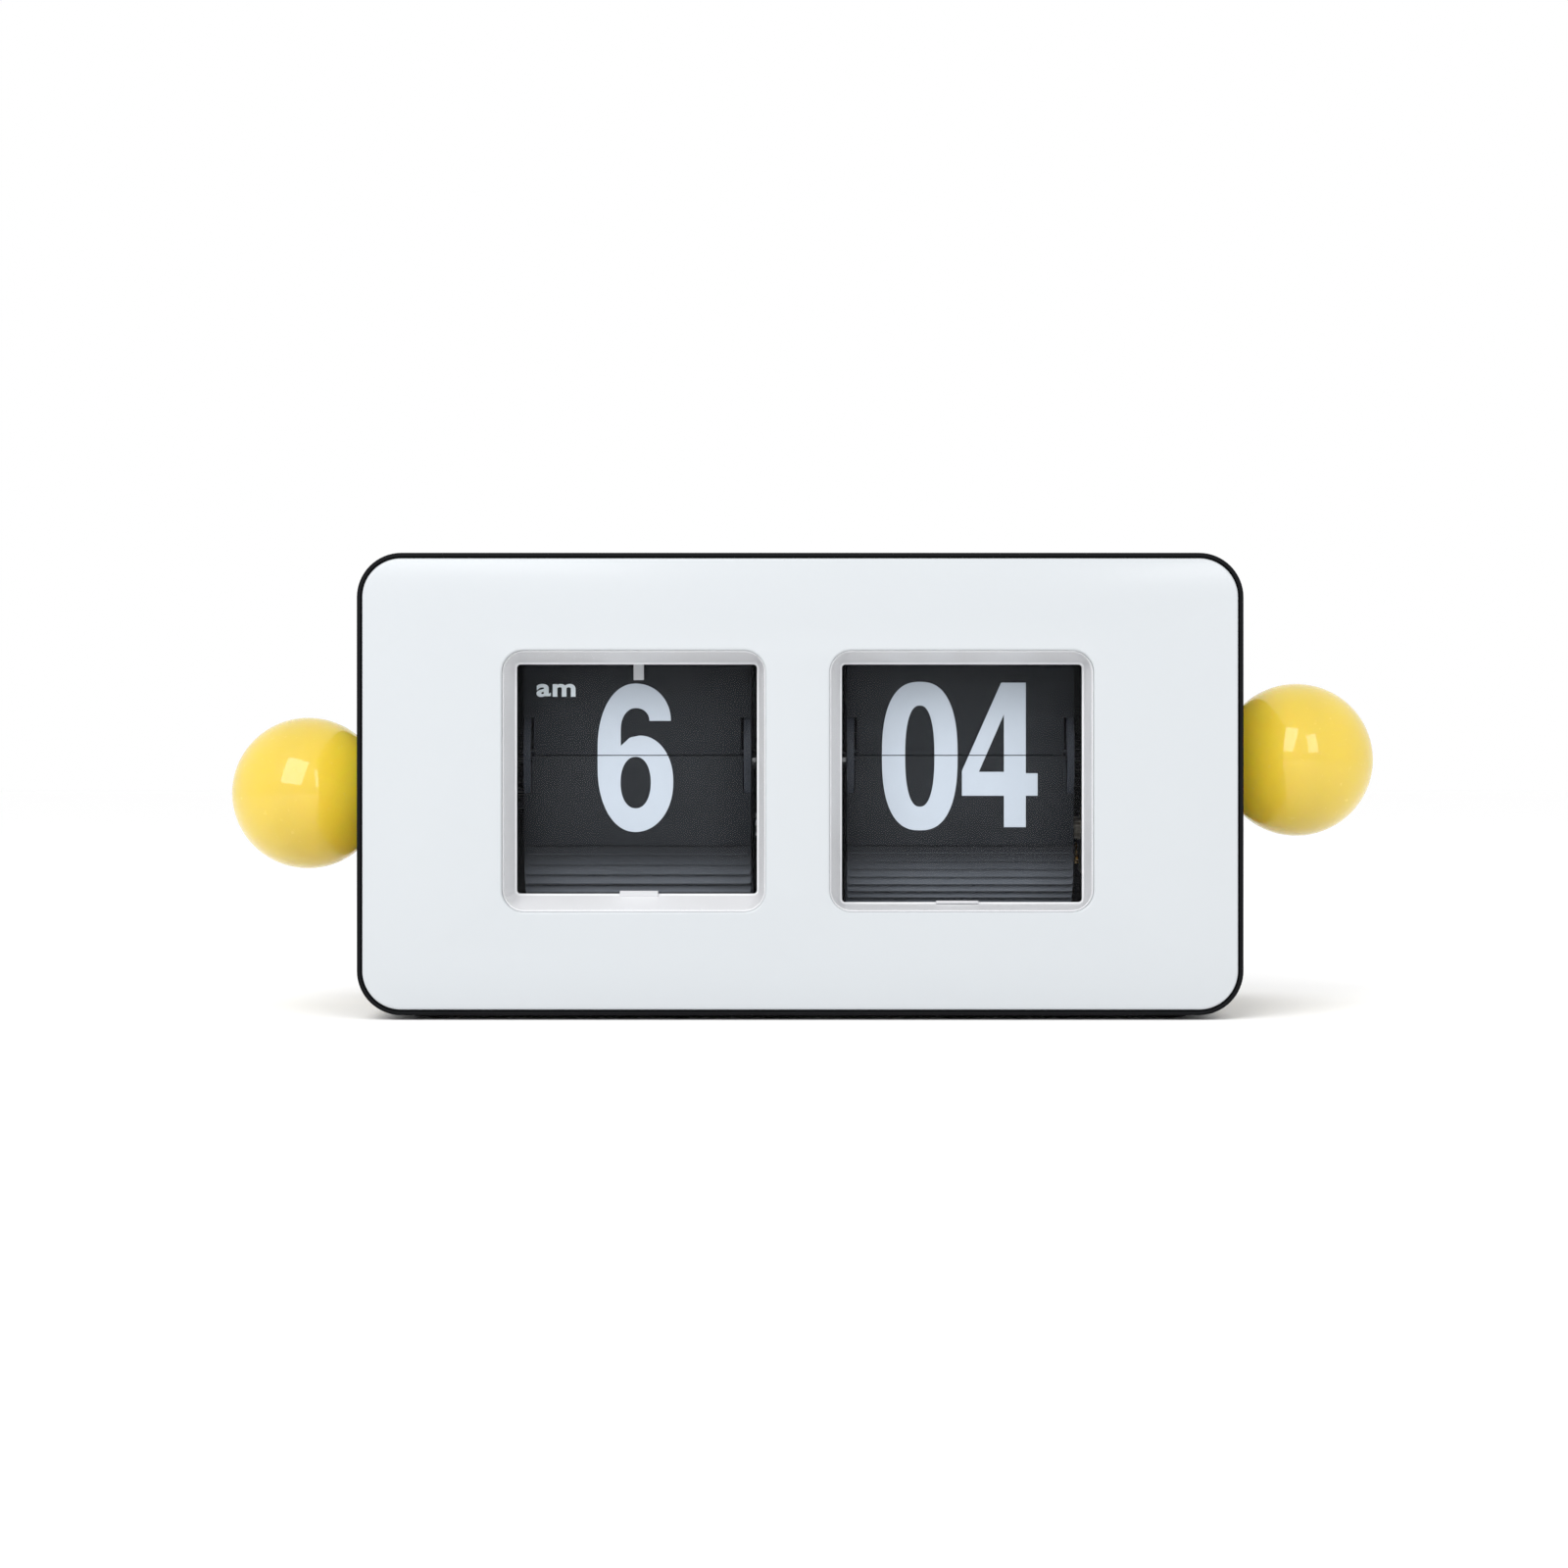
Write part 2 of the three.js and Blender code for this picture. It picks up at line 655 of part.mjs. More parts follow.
function hourShaft() {
  const rightShoulder = hourWheelX + hourWheel.width + fit;
  const leftShoulder = setWheelX - fit;
  const journal = rodX(journalRadius, leftPlateX + fit, -fit);
  return journal.add(rodX(shaftRadius, leftShoulder, rightShoulder));
}

add(train, "minute_shaft", minuteShaft(), steel);
add(train, "hour_shaft", hourShaft(), steel);
add(train, "minute_pinion", gear(minutePinion, down, journalRadius + fit), brass, minutePinionX);
add(train, "minute_drive_wheel", gear(driveWheel, down, shaftRadius + fit), gearBlack, driveWheelX);
const hourTurn = down + halfTooth(hourWheel);
add(train, "hour_wheel", gear(hourWheel, hourTurn, shaftRadius + fit), gearBlack, hourWheelX);
add(train, "hour_set_wheel", gear(setWheel, setTurn, shaftRadius + fit), gearBlack, setWheelX);

const transfer = groupAt(clock, 0, drumY, transferZ);
const transferEnd = transferWheelX + transferWheel.width + arborTail;

function transferArbor() {
  const pinion = gear(transferPinion, up).translate([transferPinionX, 0, 0]);
  return pinion.add(rodX(journalRadius, transferPinionX, transferEnd, 0, 0, arborSides));
}

add(transfer, "transfer_arbor", transferArbor(), steel);
add(
  transfer,
  "transfer_wheel",
  gear(transferWheel, up + halfTooth(transferWheel), journalRadius + fit),
  gearWhite,
  transferWheelX,
);

function driveIdler() {
  const pinion = gear(idlerPinion, up + halfTooth(idlerPinion)).translate([idlerPinionX, 0, 0]);
  const wheel = gear(idlerWheel, motorTurn).translate([idlerWheelX, 0, 0]);
  const arbor = rodX(journalRadius, idlerPinionX, rightPlateX + sidePlate - fit, 0, 0, arborSides);
  const collarX = idlerPinionX + idlerShoulder;
  const collar = rodX(journalRadius + idlerCollar, collarX, rightPlateX - fit, 0, 0, arborSides);
  return pinion.add(wheel).add(arbor).add(collar);
}

function motorRotor() {
  const toothAt = motorTurn + Math.PI + halfTooth(motorPinion);
  const pinion = gear(motorPinion, toothAt).translate([motorPinionX, 0, 0]);
  return pinion.add(rodX(journalRadius, motorPinionX, rightPlateX + sidePlate + rotorTail, 0, 0, arborSides));
}

function setArbor() {
  const pinion = gear(setPinion, setTurn + Math.PI + halfTooth(setPinion)).translate([setPinionX, 0, 0]);
  return pinion.add(rodX(shaftRadius, -knobEnd, setPinionX + setPinion.width));
}

add(clock, "drive_idler", driveIdler(), gearWhite, 0, drumY, idlerZ);
add(clock, "motor_pinion", motorRotor(), brass, 0, motorY, motorZ);
add(clock, "set_arbor", setArbor(), steel, 0, setY, setZ);

// Knobs and bushes
function knob() {
  const ball = solid(new THREE.SphereGeometry(knobRadius, cellSides, arborSides));
  return ball.subtract(rodX(shaftRadius + fit, -knobRadius - 1, -knobRadius + knobBoreDepth));
}

function bush() {
  const sleeve = tube(bushRadius, shaftRadius + fit, -fit - 1, wall - fit);
  return sleeve.add(tube(bushFlange, shaftRadius + fit, -fit - flangeThickness, -fit));
}

add(clock, "right_knob", knob(), knobYellow, knobX, drumY, drumZ);
add(clock, "left_knob", knob(), knobYellow, -knobX, setY, setZ).rotation.y = Math.PI;
add(clock, "right_bush", bush(), brass, innerX, drumY, drumZ);
add(clock, "left_bush", bush(), brass, -innerX, setY, setZ).rotation.y = Math.PI;

// Chassis
function chassisPlate(thickness, holes) {
  const height = plateCeiling - plateBottom;
  const shape = roundedRect(
    plateFront + plateRear,
    height,
    plateCorner,
    drumY + (plateRear - plateFront) / 2,
    plateBottom + height / 2,
  );
  return holes.reduce(
    (plate, [radius, y, z]) => plate.subtract(rodX(radius + fit, -1, thickness + 1, y, z)),
    slabX(shape, 0, thickness, 3),
  );
}

const plateSpan = [leftPlateX, rightPlateX + sidePlate];
const leftHoles = [
  [journalRadius, drumY, drumZ],
  [shaftRadius, setY, setZ],
];
const middleHoles = [
  [journalRadius, drumY, drumZ],
  [journalRadius, drumY, transferZ],
];
const rightHoles = [
  [shaftRadius, drumY, drumZ],
  [journalRadius, drumY, idlerZ],
  [journalRadius, motorY, motorZ],
];
add(clock, "chassis_left_plate", chassisPlate(sidePlate, leftHoles), steel, leftPlateX);
add(clock, "chassis_middle_plate", chassisPlate(middlePlate, middleHoles), steel, -middlePlate / 2);
add(clock, "chassis_right_plate", chassisPlate(sidePlate, rightHoles), steel, rightPlateX);
const baseY = [drumY - plateFront, drumY + plateRear];
add(clock, "chassis_base", block(plateSpan, baseY, [baseZ, baseZ + basePlate]), steel);
const barY = [drumY - topBarHalf, drumY + topBarHalf];
add(clock, "chassis_top_bar", block(plateSpan, barY, [barZ, barZ + topBar]), steel);

// A bent strip over the top bar with a finger down in front of a leaf's top edge.
function leafCatch(x, tipZ) {
  const fingerBack = leafFront - catchGap;
  const fingerFront = fingerBack - catchThickness;
  const armZ = barZ + topBar + fit;
  const armTop = armZ + 2 * catchThickness;
  const span = [x - catchWidth / 2, x + catchWidth / 2];
  const arm = block(span, [fingerFront, drumY], [armZ, armTop]);
  return arm.add(block(span, [fingerFront, fingerBack], [tipZ, armTop]));
}

const leafTop = flipZ + leafReach;
add(clock, "hour_leaf_catch", leafCatch(catchX, leafTop - catchTip), catchGrey);
add(clock, "minute_leaf_catch", leafCatch(catchX + minuteX - hourX, leafTop + fit), catchGrey);

// Motor, on the outer side of the right plate
function driveMotor() {
  const can = rodX(motorRadius, fit, fit + motorLength, 0, 0, canSides);
  const terminals = block(
    terminalX.map((x) => fit + x),
    terminalRise.map((y) => motorRadius + y),
    [-terminalHalf, terminalHalf],
  );
  return can.add(terminals).subtract(rodX(journalRadius + fit, -1, motorBore));
}

add(clock, "drive_motor", driveMotor(), motorSilver, rightPlateX + sidePlate, motorY, motorZ);

// Batteries, one each way round, with their contacts
function battery() {
  const body = rodX(batteryRadius, 0, batteryLength, 0, 0, cellSides);
  return body.add(rodX(nubRadius, batteryLength - 1, batteryLength + nubLength, 0, 0, studSides));
}

function batterySpring() {
  class Coil extends THREE.Curve {
    getPoint(t, target = new THREE.Vector3()) {
      const angle = t * springTurns * 2 * Math.PI;
      const length = springLength - 2 * springWire;
      const y = springRadius * Math.cos(angle);
      return target.set(springWire + t * length, y, springRadius * Math.sin(angle));
    }
  }
  const section = new THREE.Shape();
  section.absarc(0, 0, springWire, 0, 2 * Math.PI);
  return solid(
    new THREE.ExtrudeGeometry(section, {
      steps: springTurns * springSteps,
      extrudePath: new Coil(),
      curveSegments: 3,
    }),
  );
}

const contactY = [batteryY - contactHalf, batteryY + contactHalf];
const contactSpan = [bayHalf - fit - contactThickness, bayHalf - fit];
const batteryStart = -bayHalf + 2 * fit + springLength;
add(clock, "battery_upper", battery(), batteryGreen, batteryStart, batteryY, upperBatteryZ);
const lowerX = -batteryStart;
const lowerCell = add(clock, "battery_lower", battery(), batteryGreen, lowerX, batteryY, lowerBatteryZ);
lowerCell.rotation.y = Math.PI;
const springX = bayHalf - fit;
add(clock, "battery_spring_upper", batterySpring(), nickel, -springX, batteryY, upperBatteryZ);
const lowerCoil = batterySpring();
const lowerSpring = add(clock, "battery_spring_lower", lowerCoil, nickel, springX, batteryY, lowerBatteryZ);
lowerSpring.rotation.y = Math.PI;
const upperContact = [upperBatteryZ - contactHalf, upperBatteryZ + contactHalf];
const lowerContact = [lowerBatteryZ - contactHalf, lowerBatteryZ + contactHalf];
add(clock, "contact_upper", block(contactSpan, contactY, upperContact), nickel);
add(clock, "contact_lower", block(contactSpan.map((x) => -x).reverse(), contactY, lowerContact), nickel);

// Battery door, built about its hinge axis
function batteryDoor() {
  const half = bayHalf - fit;
  const thick = doorThickness / 2;
  const leafBlock = block([-half, half], [-thick, thick], [0, bayTop - fit - doorZ]);
  const pins = rodX(doorPin, -half - doorPinLength, half + doorPinLength, 0, 0, shankSides);
  return leafBlock.add(rodX(thick, -half, half, 0, 0, hingeSides)).add(pins);
}

add(clock, "battery_door", batteryDoor(), caseBlack, 0, doorY, doorZ);

export default clock;
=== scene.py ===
# Flip number clock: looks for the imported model, in metres, face towards -Y.
import bpy
import bmesh
import json
import math
from mathutils import Matrix, Vector


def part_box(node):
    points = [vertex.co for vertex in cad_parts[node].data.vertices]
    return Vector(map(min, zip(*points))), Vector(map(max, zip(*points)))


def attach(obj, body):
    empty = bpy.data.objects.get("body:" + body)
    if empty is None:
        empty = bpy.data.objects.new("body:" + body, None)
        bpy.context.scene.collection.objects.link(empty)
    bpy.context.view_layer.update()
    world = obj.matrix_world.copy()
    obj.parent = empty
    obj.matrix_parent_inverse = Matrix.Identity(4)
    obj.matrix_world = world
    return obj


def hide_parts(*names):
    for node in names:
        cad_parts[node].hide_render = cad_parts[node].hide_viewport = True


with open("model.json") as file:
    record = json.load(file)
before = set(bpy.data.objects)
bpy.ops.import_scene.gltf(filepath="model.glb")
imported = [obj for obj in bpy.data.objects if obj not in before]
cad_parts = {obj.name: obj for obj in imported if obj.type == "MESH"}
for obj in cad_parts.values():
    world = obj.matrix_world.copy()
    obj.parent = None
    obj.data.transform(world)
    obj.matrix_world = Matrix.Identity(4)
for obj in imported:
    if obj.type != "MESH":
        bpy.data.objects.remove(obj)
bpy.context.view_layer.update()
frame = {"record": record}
mm = 0.001
units = ("hour", "minute")

# the view
viewSizes = {"distance": 0.64, "height": 0.04825, "lens": 67.5, "shiftX": -0.0103}
cameraData = bpy.data.cameras.new("camera")
cameraData.lens = viewSizes["lens"]
cameraData.sensor_width = 36
cameraData.shift_x = viewSizes["shiftX"]
cameraData.clip_start = 0.01
camera = bpy.data.objects.new("camera", cameraData)
camera.location = (0, -viewSizes["distance"], viewSizes["height"])
camera.rotation_euler = (math.pi / 2, 0, 0)
bpy.context.scene.collection.objects.link(camera)
bpy.context.scene.camera = camera
bpy.context.scene.view_settings.view_transform = "Standard"


# shader helper
class Wire:
    def __init__(self, tree, socket=None):
        self.tree = tree
        self.socket = socket

    def node(self, kind, settings=None, inputs=None, out=0):
        made = self.tree.nodes.new("ShaderNode" + kind)
        for key, value in (settings or {}).items():
            setattr(made, key, value)
        for key, value in (inputs or {}).items():
            if isinstance(value, Wire):
                self.tree.links.new(value.socket, made.inputs[key])
            else:
                made.inputs[key].default_value = value
        return Wire(self.tree, made.outputs[out])

    def maths(self, operation, *values):
        return self.node("Math", {"operation": operation}, dict(enumerate(values)))

    def size(self):
        return self.maths("ABSOLUTE", self)

    def __add__(self, other):
        return self.maths("ADD", self, other)

    def __mul__(self, other):
        return self.maths("MULTIPLY", self, other)

    def __sub__(self, other):
        return self.maths("SUBTRACT", self, other)

    def __rsub__(self, other):
        return self.maths("SUBTRACT", other, self)

    __radd__ = __add__
    __rmul__ = __mul__


def axisOf(w, place, axis):
    return w.node("SeparateXYZ", None, {0: place}, axis)


def blendColor(w, factor, a, b):
    plain = [value if isinstance(value, Wire) else (*value, 1) for value in (a, b)]
    return w.node("Mix", {"data_type": "RGBA"}, {0: factor, 6: plain[0], 7: plain[1]}, 2)


def noise(w, place, scale, detail=3, stretch=None):
    if stretch:
        place = w.node("Mapping", None, {"Vector": place, "Scale": stretch})
    return w.node("TexNoise", None, {"Vector": place, "Scale": scale, "Detail": detail})


def step(w, value, low, high):
    return w.node("MapRange", {"interpolation_type": "SMOOTHSTEP"}, {0: value, 1: low, 2: high})


def newMaterial(name, paint, **fixed):
    made = bpy.data.materials.new(name)
    made.use_nodes = True
    tree = made.node_tree
    shader = tree.nodes["Principled BSDF"]
    for key, value in fixed.items():
        shader.inputs[key.replace("_", " ")].default_value = value
    w = Wire(tree)
    place = w.node("TexCoord", None, None, 3)
    for key, value in paint(w, place).items():
        if key == "bump":
            height, strength, distance = value
            value = w.node("Bump", None, {"Strength": strength, "Distance": distance, "Height": height})
            key = "Normal"
        tree.links.new(value.socket, shader.inputs[key])
    return made


def gradedPlastic(dark, light, rough, grain, depth, patch=60):
    # a moulded plastic: cloudy colour, uneven gloss and a fine grain
    def paint(w, place):
        cloud = noise(w, place, patch, 4)
        fine = noise(w, place, grain, 2)
        scuff = step(w, noise(w, place, patch * 9, 5), 0.56, 0.72)
        return {
            "Base Color": blendColor(w, step(w, cloud, 0.3, 0.7), dark, light),
            "Roughness": rough + 0.08 * (cloud - 0.5) + 0.07 * scuff,
            "bump": (fine + 0.2 * cloud, 0.35, depth),
        }

    return paint


def caseTexture(w, place):
    # spark-eroded black plastic
    pits = w.node(
        "TexVoronoi", {"feature": "SMOOTH_F1"}, {"Vector": place, "Scale": 1500.0, "Smoothness": 0.6}
    )
    cloud = noise(w, place, 45, 4)
    rub = step(w, noise(w, place, 260, 6), 0.6, 0.75)
    return {
        "Base Color": blendColor(w, cloud, (0.0028, 0.003, 0.0036), (0.0055, 0.0058, 0.0068)),
        "Roughness": 0.5 + 0.12 * cloud - 0.06 * rub,
        "bump": (pits + 0.4 * noise(w, place, 3200, 2), 0.22, 0.00004),
    }


def panelGloss(w, place):
    # gloss white moulding with a faint orange peel and a few hair scratches
    peel = noise(w, place, 130, 2)
    hair = noise(w, place, 500, 2, (1, 1, 0.04))
    scratch = step(w, hair, 0.7, 0.73)
    cloud = noise(w, place, 18, 3)
    return {
        "Base Color": blendColor(w, cloud, (0.427, 0.447, 0.465), (0.437, 0.457, 0.475)),
        "Roughness": 0.17 + 0.07 * cloud + 0.05 * scratch,
        "bump": (peel, 0.12, 0.00003),
    }


def printedInk(fresh, worn):
    def paint(w, place):
        speck = step(w, noise(w, place, 2200, 3), 0.62, 0.8)
        cloud = noise(w, place, 120, 3)
        return {
            "Base Color": blendColor(w, cloud * 0.6 + speck * 0.4, fresh, worn),
            "Roughness": 0.5 + 0.15 * cloud,
            "bump": (noise(w, place, 3000, 2), 0.25, 0.00002),
        }

    return paint


def stackedLeaf(w, place):
    # base colour painted lighter towards the bottom of the window: painted light where the hanging leaves
    # pick up more light
    height = axisOf(w, place, 2)
    # painted light: this mask lightens the leaves towards the bottom of the window
    lower = step(w, height, 0.0345, 0.022)
    fine = noise(w, place, 2400, 2)
    cloud = noise(w, place, 70, 4)
    # low is the painted-light colour at the bottom of the window, high the dark colour above it
    low = blendColor(w, cloud, (0.18, 0.203, 0.237), (0.22, 0.243, 0.285))
    high = blendColor(w, cloud, (0.0165, 0.019, 0.0235), (0.0205, 0.0235, 0.0285))
    return {
        "Base Color": blendColor(w, lower, high, low),
        "Roughness": 0.5 + 0.12 * cloud,
        "bump": (fine, 0.2, 0.00002),
    }


def knobPaint(w, place):
    # gloss lacquer, its base colour painted lighter towards the case and darker on the outer side: painted
    # light that evens out the shade next to the case
    # painted light: full next to the case, none on the outer side
    paintedCaseLight = step(w, axisOf(w, place, 0).size(), 0.1115, 0.0925)
    stipple = noise(w, place, 1500, 3)
    cloud = noise(w, place, 40, 4)
    dust = step(w, noise(w, place, 700, 6), 0.64, 0.74)
    base = blendColor(w, paintedCaseLight + 0.06 * (cloud - 0.5), (0.55, 0.415, 0.045), (1.0, 0.74, 0.06))
    return {
        "Base Color": blendColor(w, dust * 0.2, base, (0.82, 0.68, 0.22)),
        "Roughness": 0.4 + 0.08 * cloud + 0.05 * stipple,
        "Coat Weight": 0.8 - 0.25 * dust,
        "bump": (stipple, 0.06, 0.00002),
    }


def brushed(color, rough, along=(0.05, 1, 1)):
    # rolled or drawn metal, its grain along one axis
    darker = tuple(value * 0.82 for value in color)

    def paint(w, place):
        grain = noise(w, place, 1800, 3, along)
        stain = noise(w, place, 55, 5)
        return {
            "Base Color": blendColor(w, stain * 0.6 + grain * 0.4, darker, color),
            "Roughness": rough + 0.14 * grain + 0.12 * step(w, stain, 0.5, 0.75),
            "bump": (grain, 0.15, 0.00002),
        }

    return paint


def turned(color, rough):
    # lathe rings across X
    darker = tuple(value * 0.8 for value in color)

    def paint(w, place):
        rings = noise(w, axisOf(w, place, 0), 5000, 2)
        tarnish = noise(w, place, 160, 5)
        return {
            "Base Color": blendColor(w, step(w, tarnish, 0.4, 0.7), color, darker),
            "Roughness": rough + 0.12 * tarnish,
            "bump": (rings, 0.2, 0.00002),
        }

    return paint


def cellWrap(w, place):
    # a printed steel cell: green wrap with a copper band at the positive end
    x = axisOf(w, place, 0)
    height = axisOf(w, place, 2)
    upper = step(w, height, 0.0237, 0.0239)
    band = step(w, x, 0.0148, 0.0150) * upper + (1 - step(w, x, -0.0150, -0.0148)) * (1 - upper)
    scuff = step(w, noise(w, place, 420, 6), 0.6, 0.75)
    green = blendColor(w, scuff * 0.4, (0.012, 0.11, 0.045), (0.05, 0.2, 0.1))
    return {
        "Base Color": blendColor(w, band, green, (0.62, 0.3, 0.12)),
        "Roughness": 0.28 + 0.2 * scuff,
        "Metallic": 0.25 + 0.6 * band,
    }


def rubberGrain(w, place):
    cloud = noise(w, place, 200, 4)
    return {
        "Base Color": blendColor(w, cloud, (0.012, 0.012, 0.012), (0.022, 0.022, 0.022)),
        "Roughness": 0.8 + 0.12 * cloud,
        "bump": (noise(w, place, 2600, 3), 0.4, 0.00005),
    }


def lensHaze(w, place):
    smear = noise(w, place, 60, 5)
    return {
        "Base Color": blendColor(w, smear, (0.01, 0.011, 0.013), (0.03, 0.031, 0.034)),
        "Roughness": 0.03 + 0.05 * smear,
        "Alpha": 0.05 + 0.03 * smear,
    }


finishes = {
    "caseBlack": newMaterial("case black", caseTexture, Specular_IOR_Level=0.06),
    "panelWhite": newMaterial(
        "panel white", panelGloss, Specular_IOR_Level=0.3, Coat_Weight=0.12, Coat_Roughness=0.1
    ),
    "bezelGrey": newMaterial(
        "bezel grey", gradedPlastic((0.8, 0.805, 0.825), (0.83, 0.835, 0.855), 0.38, 1400, 0.00002)
    ),
    "tabGrey": newMaterial(
        "tab grey", gradedPlastic((0.6, 0.605, 0.625), (0.63, 0.635, 0.655), 0.45, 1400, 0.00002)
    ),
    "lensClear": newMaterial("lens clear", lensHaze, Specular_IOR_Level=0.35),
    "leafBlack": newMaterial(
        "leaf black",
        gradedPlastic((0.0115, 0.014, 0.0175), (0.0142, 0.0168, 0.0205), 0.52, 2400, 0.00002, 70),
        Specular_IOR_Level=0.14,
    ),
    "leafStack": newMaterial("leaf stack", stackedLeaf, Specular_IOR_Level=0.14),
    # painted shadow: a dark strip along the lower edge of each hanging leaf
    "leafEdge": newMaterial(
        "leaf edge",
        gradedPlastic((0.045, 0.05, 0.058), (0.055, 0.062, 0.072), 0.55, 2400, 0.00002),
        Specular_IOR_Level=0.1,
    ),
    "inkWhite": newMaterial("ink white", printedInk((0.56, 0.63, 0.715), (0.52, 0.585, 0.665))),
    # a lighter copy of the white ink for the half-day mark: painted light, as the leaf's corner lies in shade
    "inkBright": newMaterial("ink bright", printedInk((0.84, 0.93, 0.98), (0.8, 0.88, 0.94))),
    "drumGrey": newMaterial(
        "drum grey",
        gradedPlastic((0.024, 0.029, 0.038), (0.03, 0.036, 0.047), 0.45, 1800, 0.00003),
        Specular_IOR_Level=0.2,
    ),
    "gearBlack": newMaterial(
        "gear black",
        gradedPlastic((0.004, 0.0045, 0.005), (0.007, 0.0075, 0.0085), 0.45, 1800, 0.00003),
        Specular_IOR_Level=0.1,
    ),
    "catchGrey": newMaterial(
        "catch grey", gradedPlastic((0.66, 0.68, 0.71), (0.72, 0.74, 0.77), 0.42, 2000, 0.00002, 300)
    ),
    "gearNatural": newMaterial(
        "gear natural", gradedPlastic((0.72, 0.69, 0.61), (0.8, 0.77, 0.7), 0.4, 1600, 0.00003, 120)
    ),
    "knobYellow": newMaterial(
        "knob yellow",
        knobPaint,
        Specular_IOR_Level=0.25,
        Subsurface_Weight=1.0,
        Subsurface_Radius=(1.0, 0.75, 0.12),
        Subsurface_Scale=0.02,
        Coat_Roughness=0.04,
    ),
    "steelSheet": newMaterial("steel sheet", brushed((0.6, 0.61, 0.63), 0.28), Metallic=1.0),
    "steelTurned": newMaterial("steel turned", turned((0.62, 0.63, 0.65), 0.2), Metallic=1.0),
    "steelBlued": newMaterial("steel blued", turned((0.035, 0.037, 0.045), 0.4), Metallic=1.0),
    "brassTurned": newMaterial("brass turned", turned((0.78, 0.56, 0.24), 0.22), Metallic=1.0),
    "nickelPlate": newMaterial("nickel plate", brushed((0.72, 0.7, 0.65), 0.2, (1, 1, 0.05)), Metallic=1.0),
    "motorCan": newMaterial("motor can", brushed((0.55, 0.56, 0.57), 0.3, (0.03, 1, 1)), Metallic=1.0),
    "cellWrap": newMaterial("cell wrap", cellWrap),
    "rubberFoot": newMaterial("rubber foot", rubberGrain),
}
print("materials:", len(finishes))


# mesh helpers
def settle(name, bm, finish, body, stands=(), smooth=40, bevel=None):
    mesh = bpy.data.meshes.new(name)
    bm.to_mesh(mesh)
    bm.free()
    piece = bpy.data.objects.new(name, mesh)
    bpy.context.scene.collection.objects.link(piece)
    for each in finish.split():
        mesh.materials.append(finishes[each])
    for face in mesh.polygons:
        face.use_smooth = True
    if bevel:
        width, segments = bevel
        edge = piece.modifiers.new("edges", "BEVEL")
        edge.width = width
        edge.segments = segments
        edge.limit_method = "ANGLE"
        edge.angle_limit = math.radians(35)
        edge.harden_normals = True
    mesh.set_sharp_from_angle(angle=math.radians(smooth))
    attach(piece, body)
    if stands:
        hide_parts(*stands)


def roundedOutline(width, height, radius, x=0.0, z=0.0, steps=12):
    points = []
    for quarter, (sx, sz) in enumerate([(1, 1), (-1, 1), (-1, -1), (1, -1)]):
        for i in range(steps + 1):
            turn = math.pi / 2 * (quarter + i / steps)
            cx = x + sx * (width / 2 - radius)
            cz = z + sz * (height / 2 - radius)
            points.append((cx + radius * math.cos(turn), cz + radius * math.sin(turn)))
    return points


def circleOutline(radius, x=0.0, z=0.0, steps=32):
    turns = [2 * math.pi * i / steps for i in range(steps)]
    return [(x + radius * math.cos(t), z + radius * math.sin(t)) for t in turns]


def onCircle(radius, turn):
    return radius * math.cos(turn), radius * math.sin(turn)


def sheetMesh(outlines, thickness, edge=0.0, edgeSteps=2):
    # a flat plate with holes from closed outlines, middle on z = 0 of its own plane
    curve = bpy.data.curves.new("outline", "CURVE")
    curve.dimensions = "2D"
    curve.fill_mode = "BOTH"
    curve.extrude = thickness / 2 - edge
    curve.bevel_depth = edge
    curve.bevel_resolution = edgeSteps
    curve.offset = -edge
    for outline in outlines:
        spline = curve.splines.new("POLY")
        spline.points.add(len(outline) - 1)
        for point, (x, y) in zip(spline.points, outline):
            point.co = (x, y, 0, 1)
        spline.use_cyclic_u = True
    holder = bpy.data.objects.new("outline", curve)
    bpy.context.scene.collection.objects.link(holder)
    made = bpy.data.meshes.new_from_object(holder.evaluated_get(bpy.context.evaluated_depsgraph_get()))
    bpy.data.objects.remove(holder)
    bpy.data.curves.remove(curve)
    bm = bmesh.new()
    bm.from_mesh(made)
    bpy.data.meshes.remove(made)
    bmesh.ops.remove_doubles(bm, verts=bm.verts, dist=1e-7)
    bmesh.ops.recalc_face_normals(bm, faces=bm.faces)
    return bm


def standUp(bm, y):
    # from the drawing plane to x and z, with the plate's middle at y
    bmesh.ops.transform(bm, matrix=Matrix.Rotation(math.pi / 2, 4, "X"), verts=bm.verts)
    bmesh.ops.translate(bm, vec=(0, y, 0), verts=bm.verts)
    return bm


def faceAlongX(bm, x):
    # from the drawing plane to y and z, with the plate's middle at x
    swap = Matrix(((0, 0, 1), (1, 0, 0), (0, 1, 0))).to_4x4()
    bmesh.ops.transform(bm, matrix=swap, verts=bm.verts)
    bmesh.ops.translate(bm, vec=(x, 0, 0), verts=bm.verts)
    return bm


def addTo(bm, other):
    spare = bpy.data.meshes.new("spare")
    other.to_mesh(spare)
    other.free()
    bm.from_mesh(spare)
    bpy.data.meshes.remove(spare)


def turnedAboutX(profile, steps=64, closed=True):
    # a profile of (x, radius) points spun about the X axis; an open one starts and ends on the axis
    bm = bmesh.new()
    verts = [bm.verts.new((x, 0, radius)) for x, radius in profile]
    following = verts[1:] + (verts[:1] if closed else [])
    edges = [bm.edges.new(pair) for pair in zip(verts, following)]
    bmesh.ops.spin(
        bm, geom=verts + edges, cent=(0, 0, 0), axis=(1, 0, 0), angle=2 * math.pi, steps=steps, use_merge=True
    )
    bmesh.ops.remove_doubles(bm, verts=bm.verts, dist=1e-7)
    bmesh.ops.recalc_face_normals(bm, faces=bm.faces)
    return bm


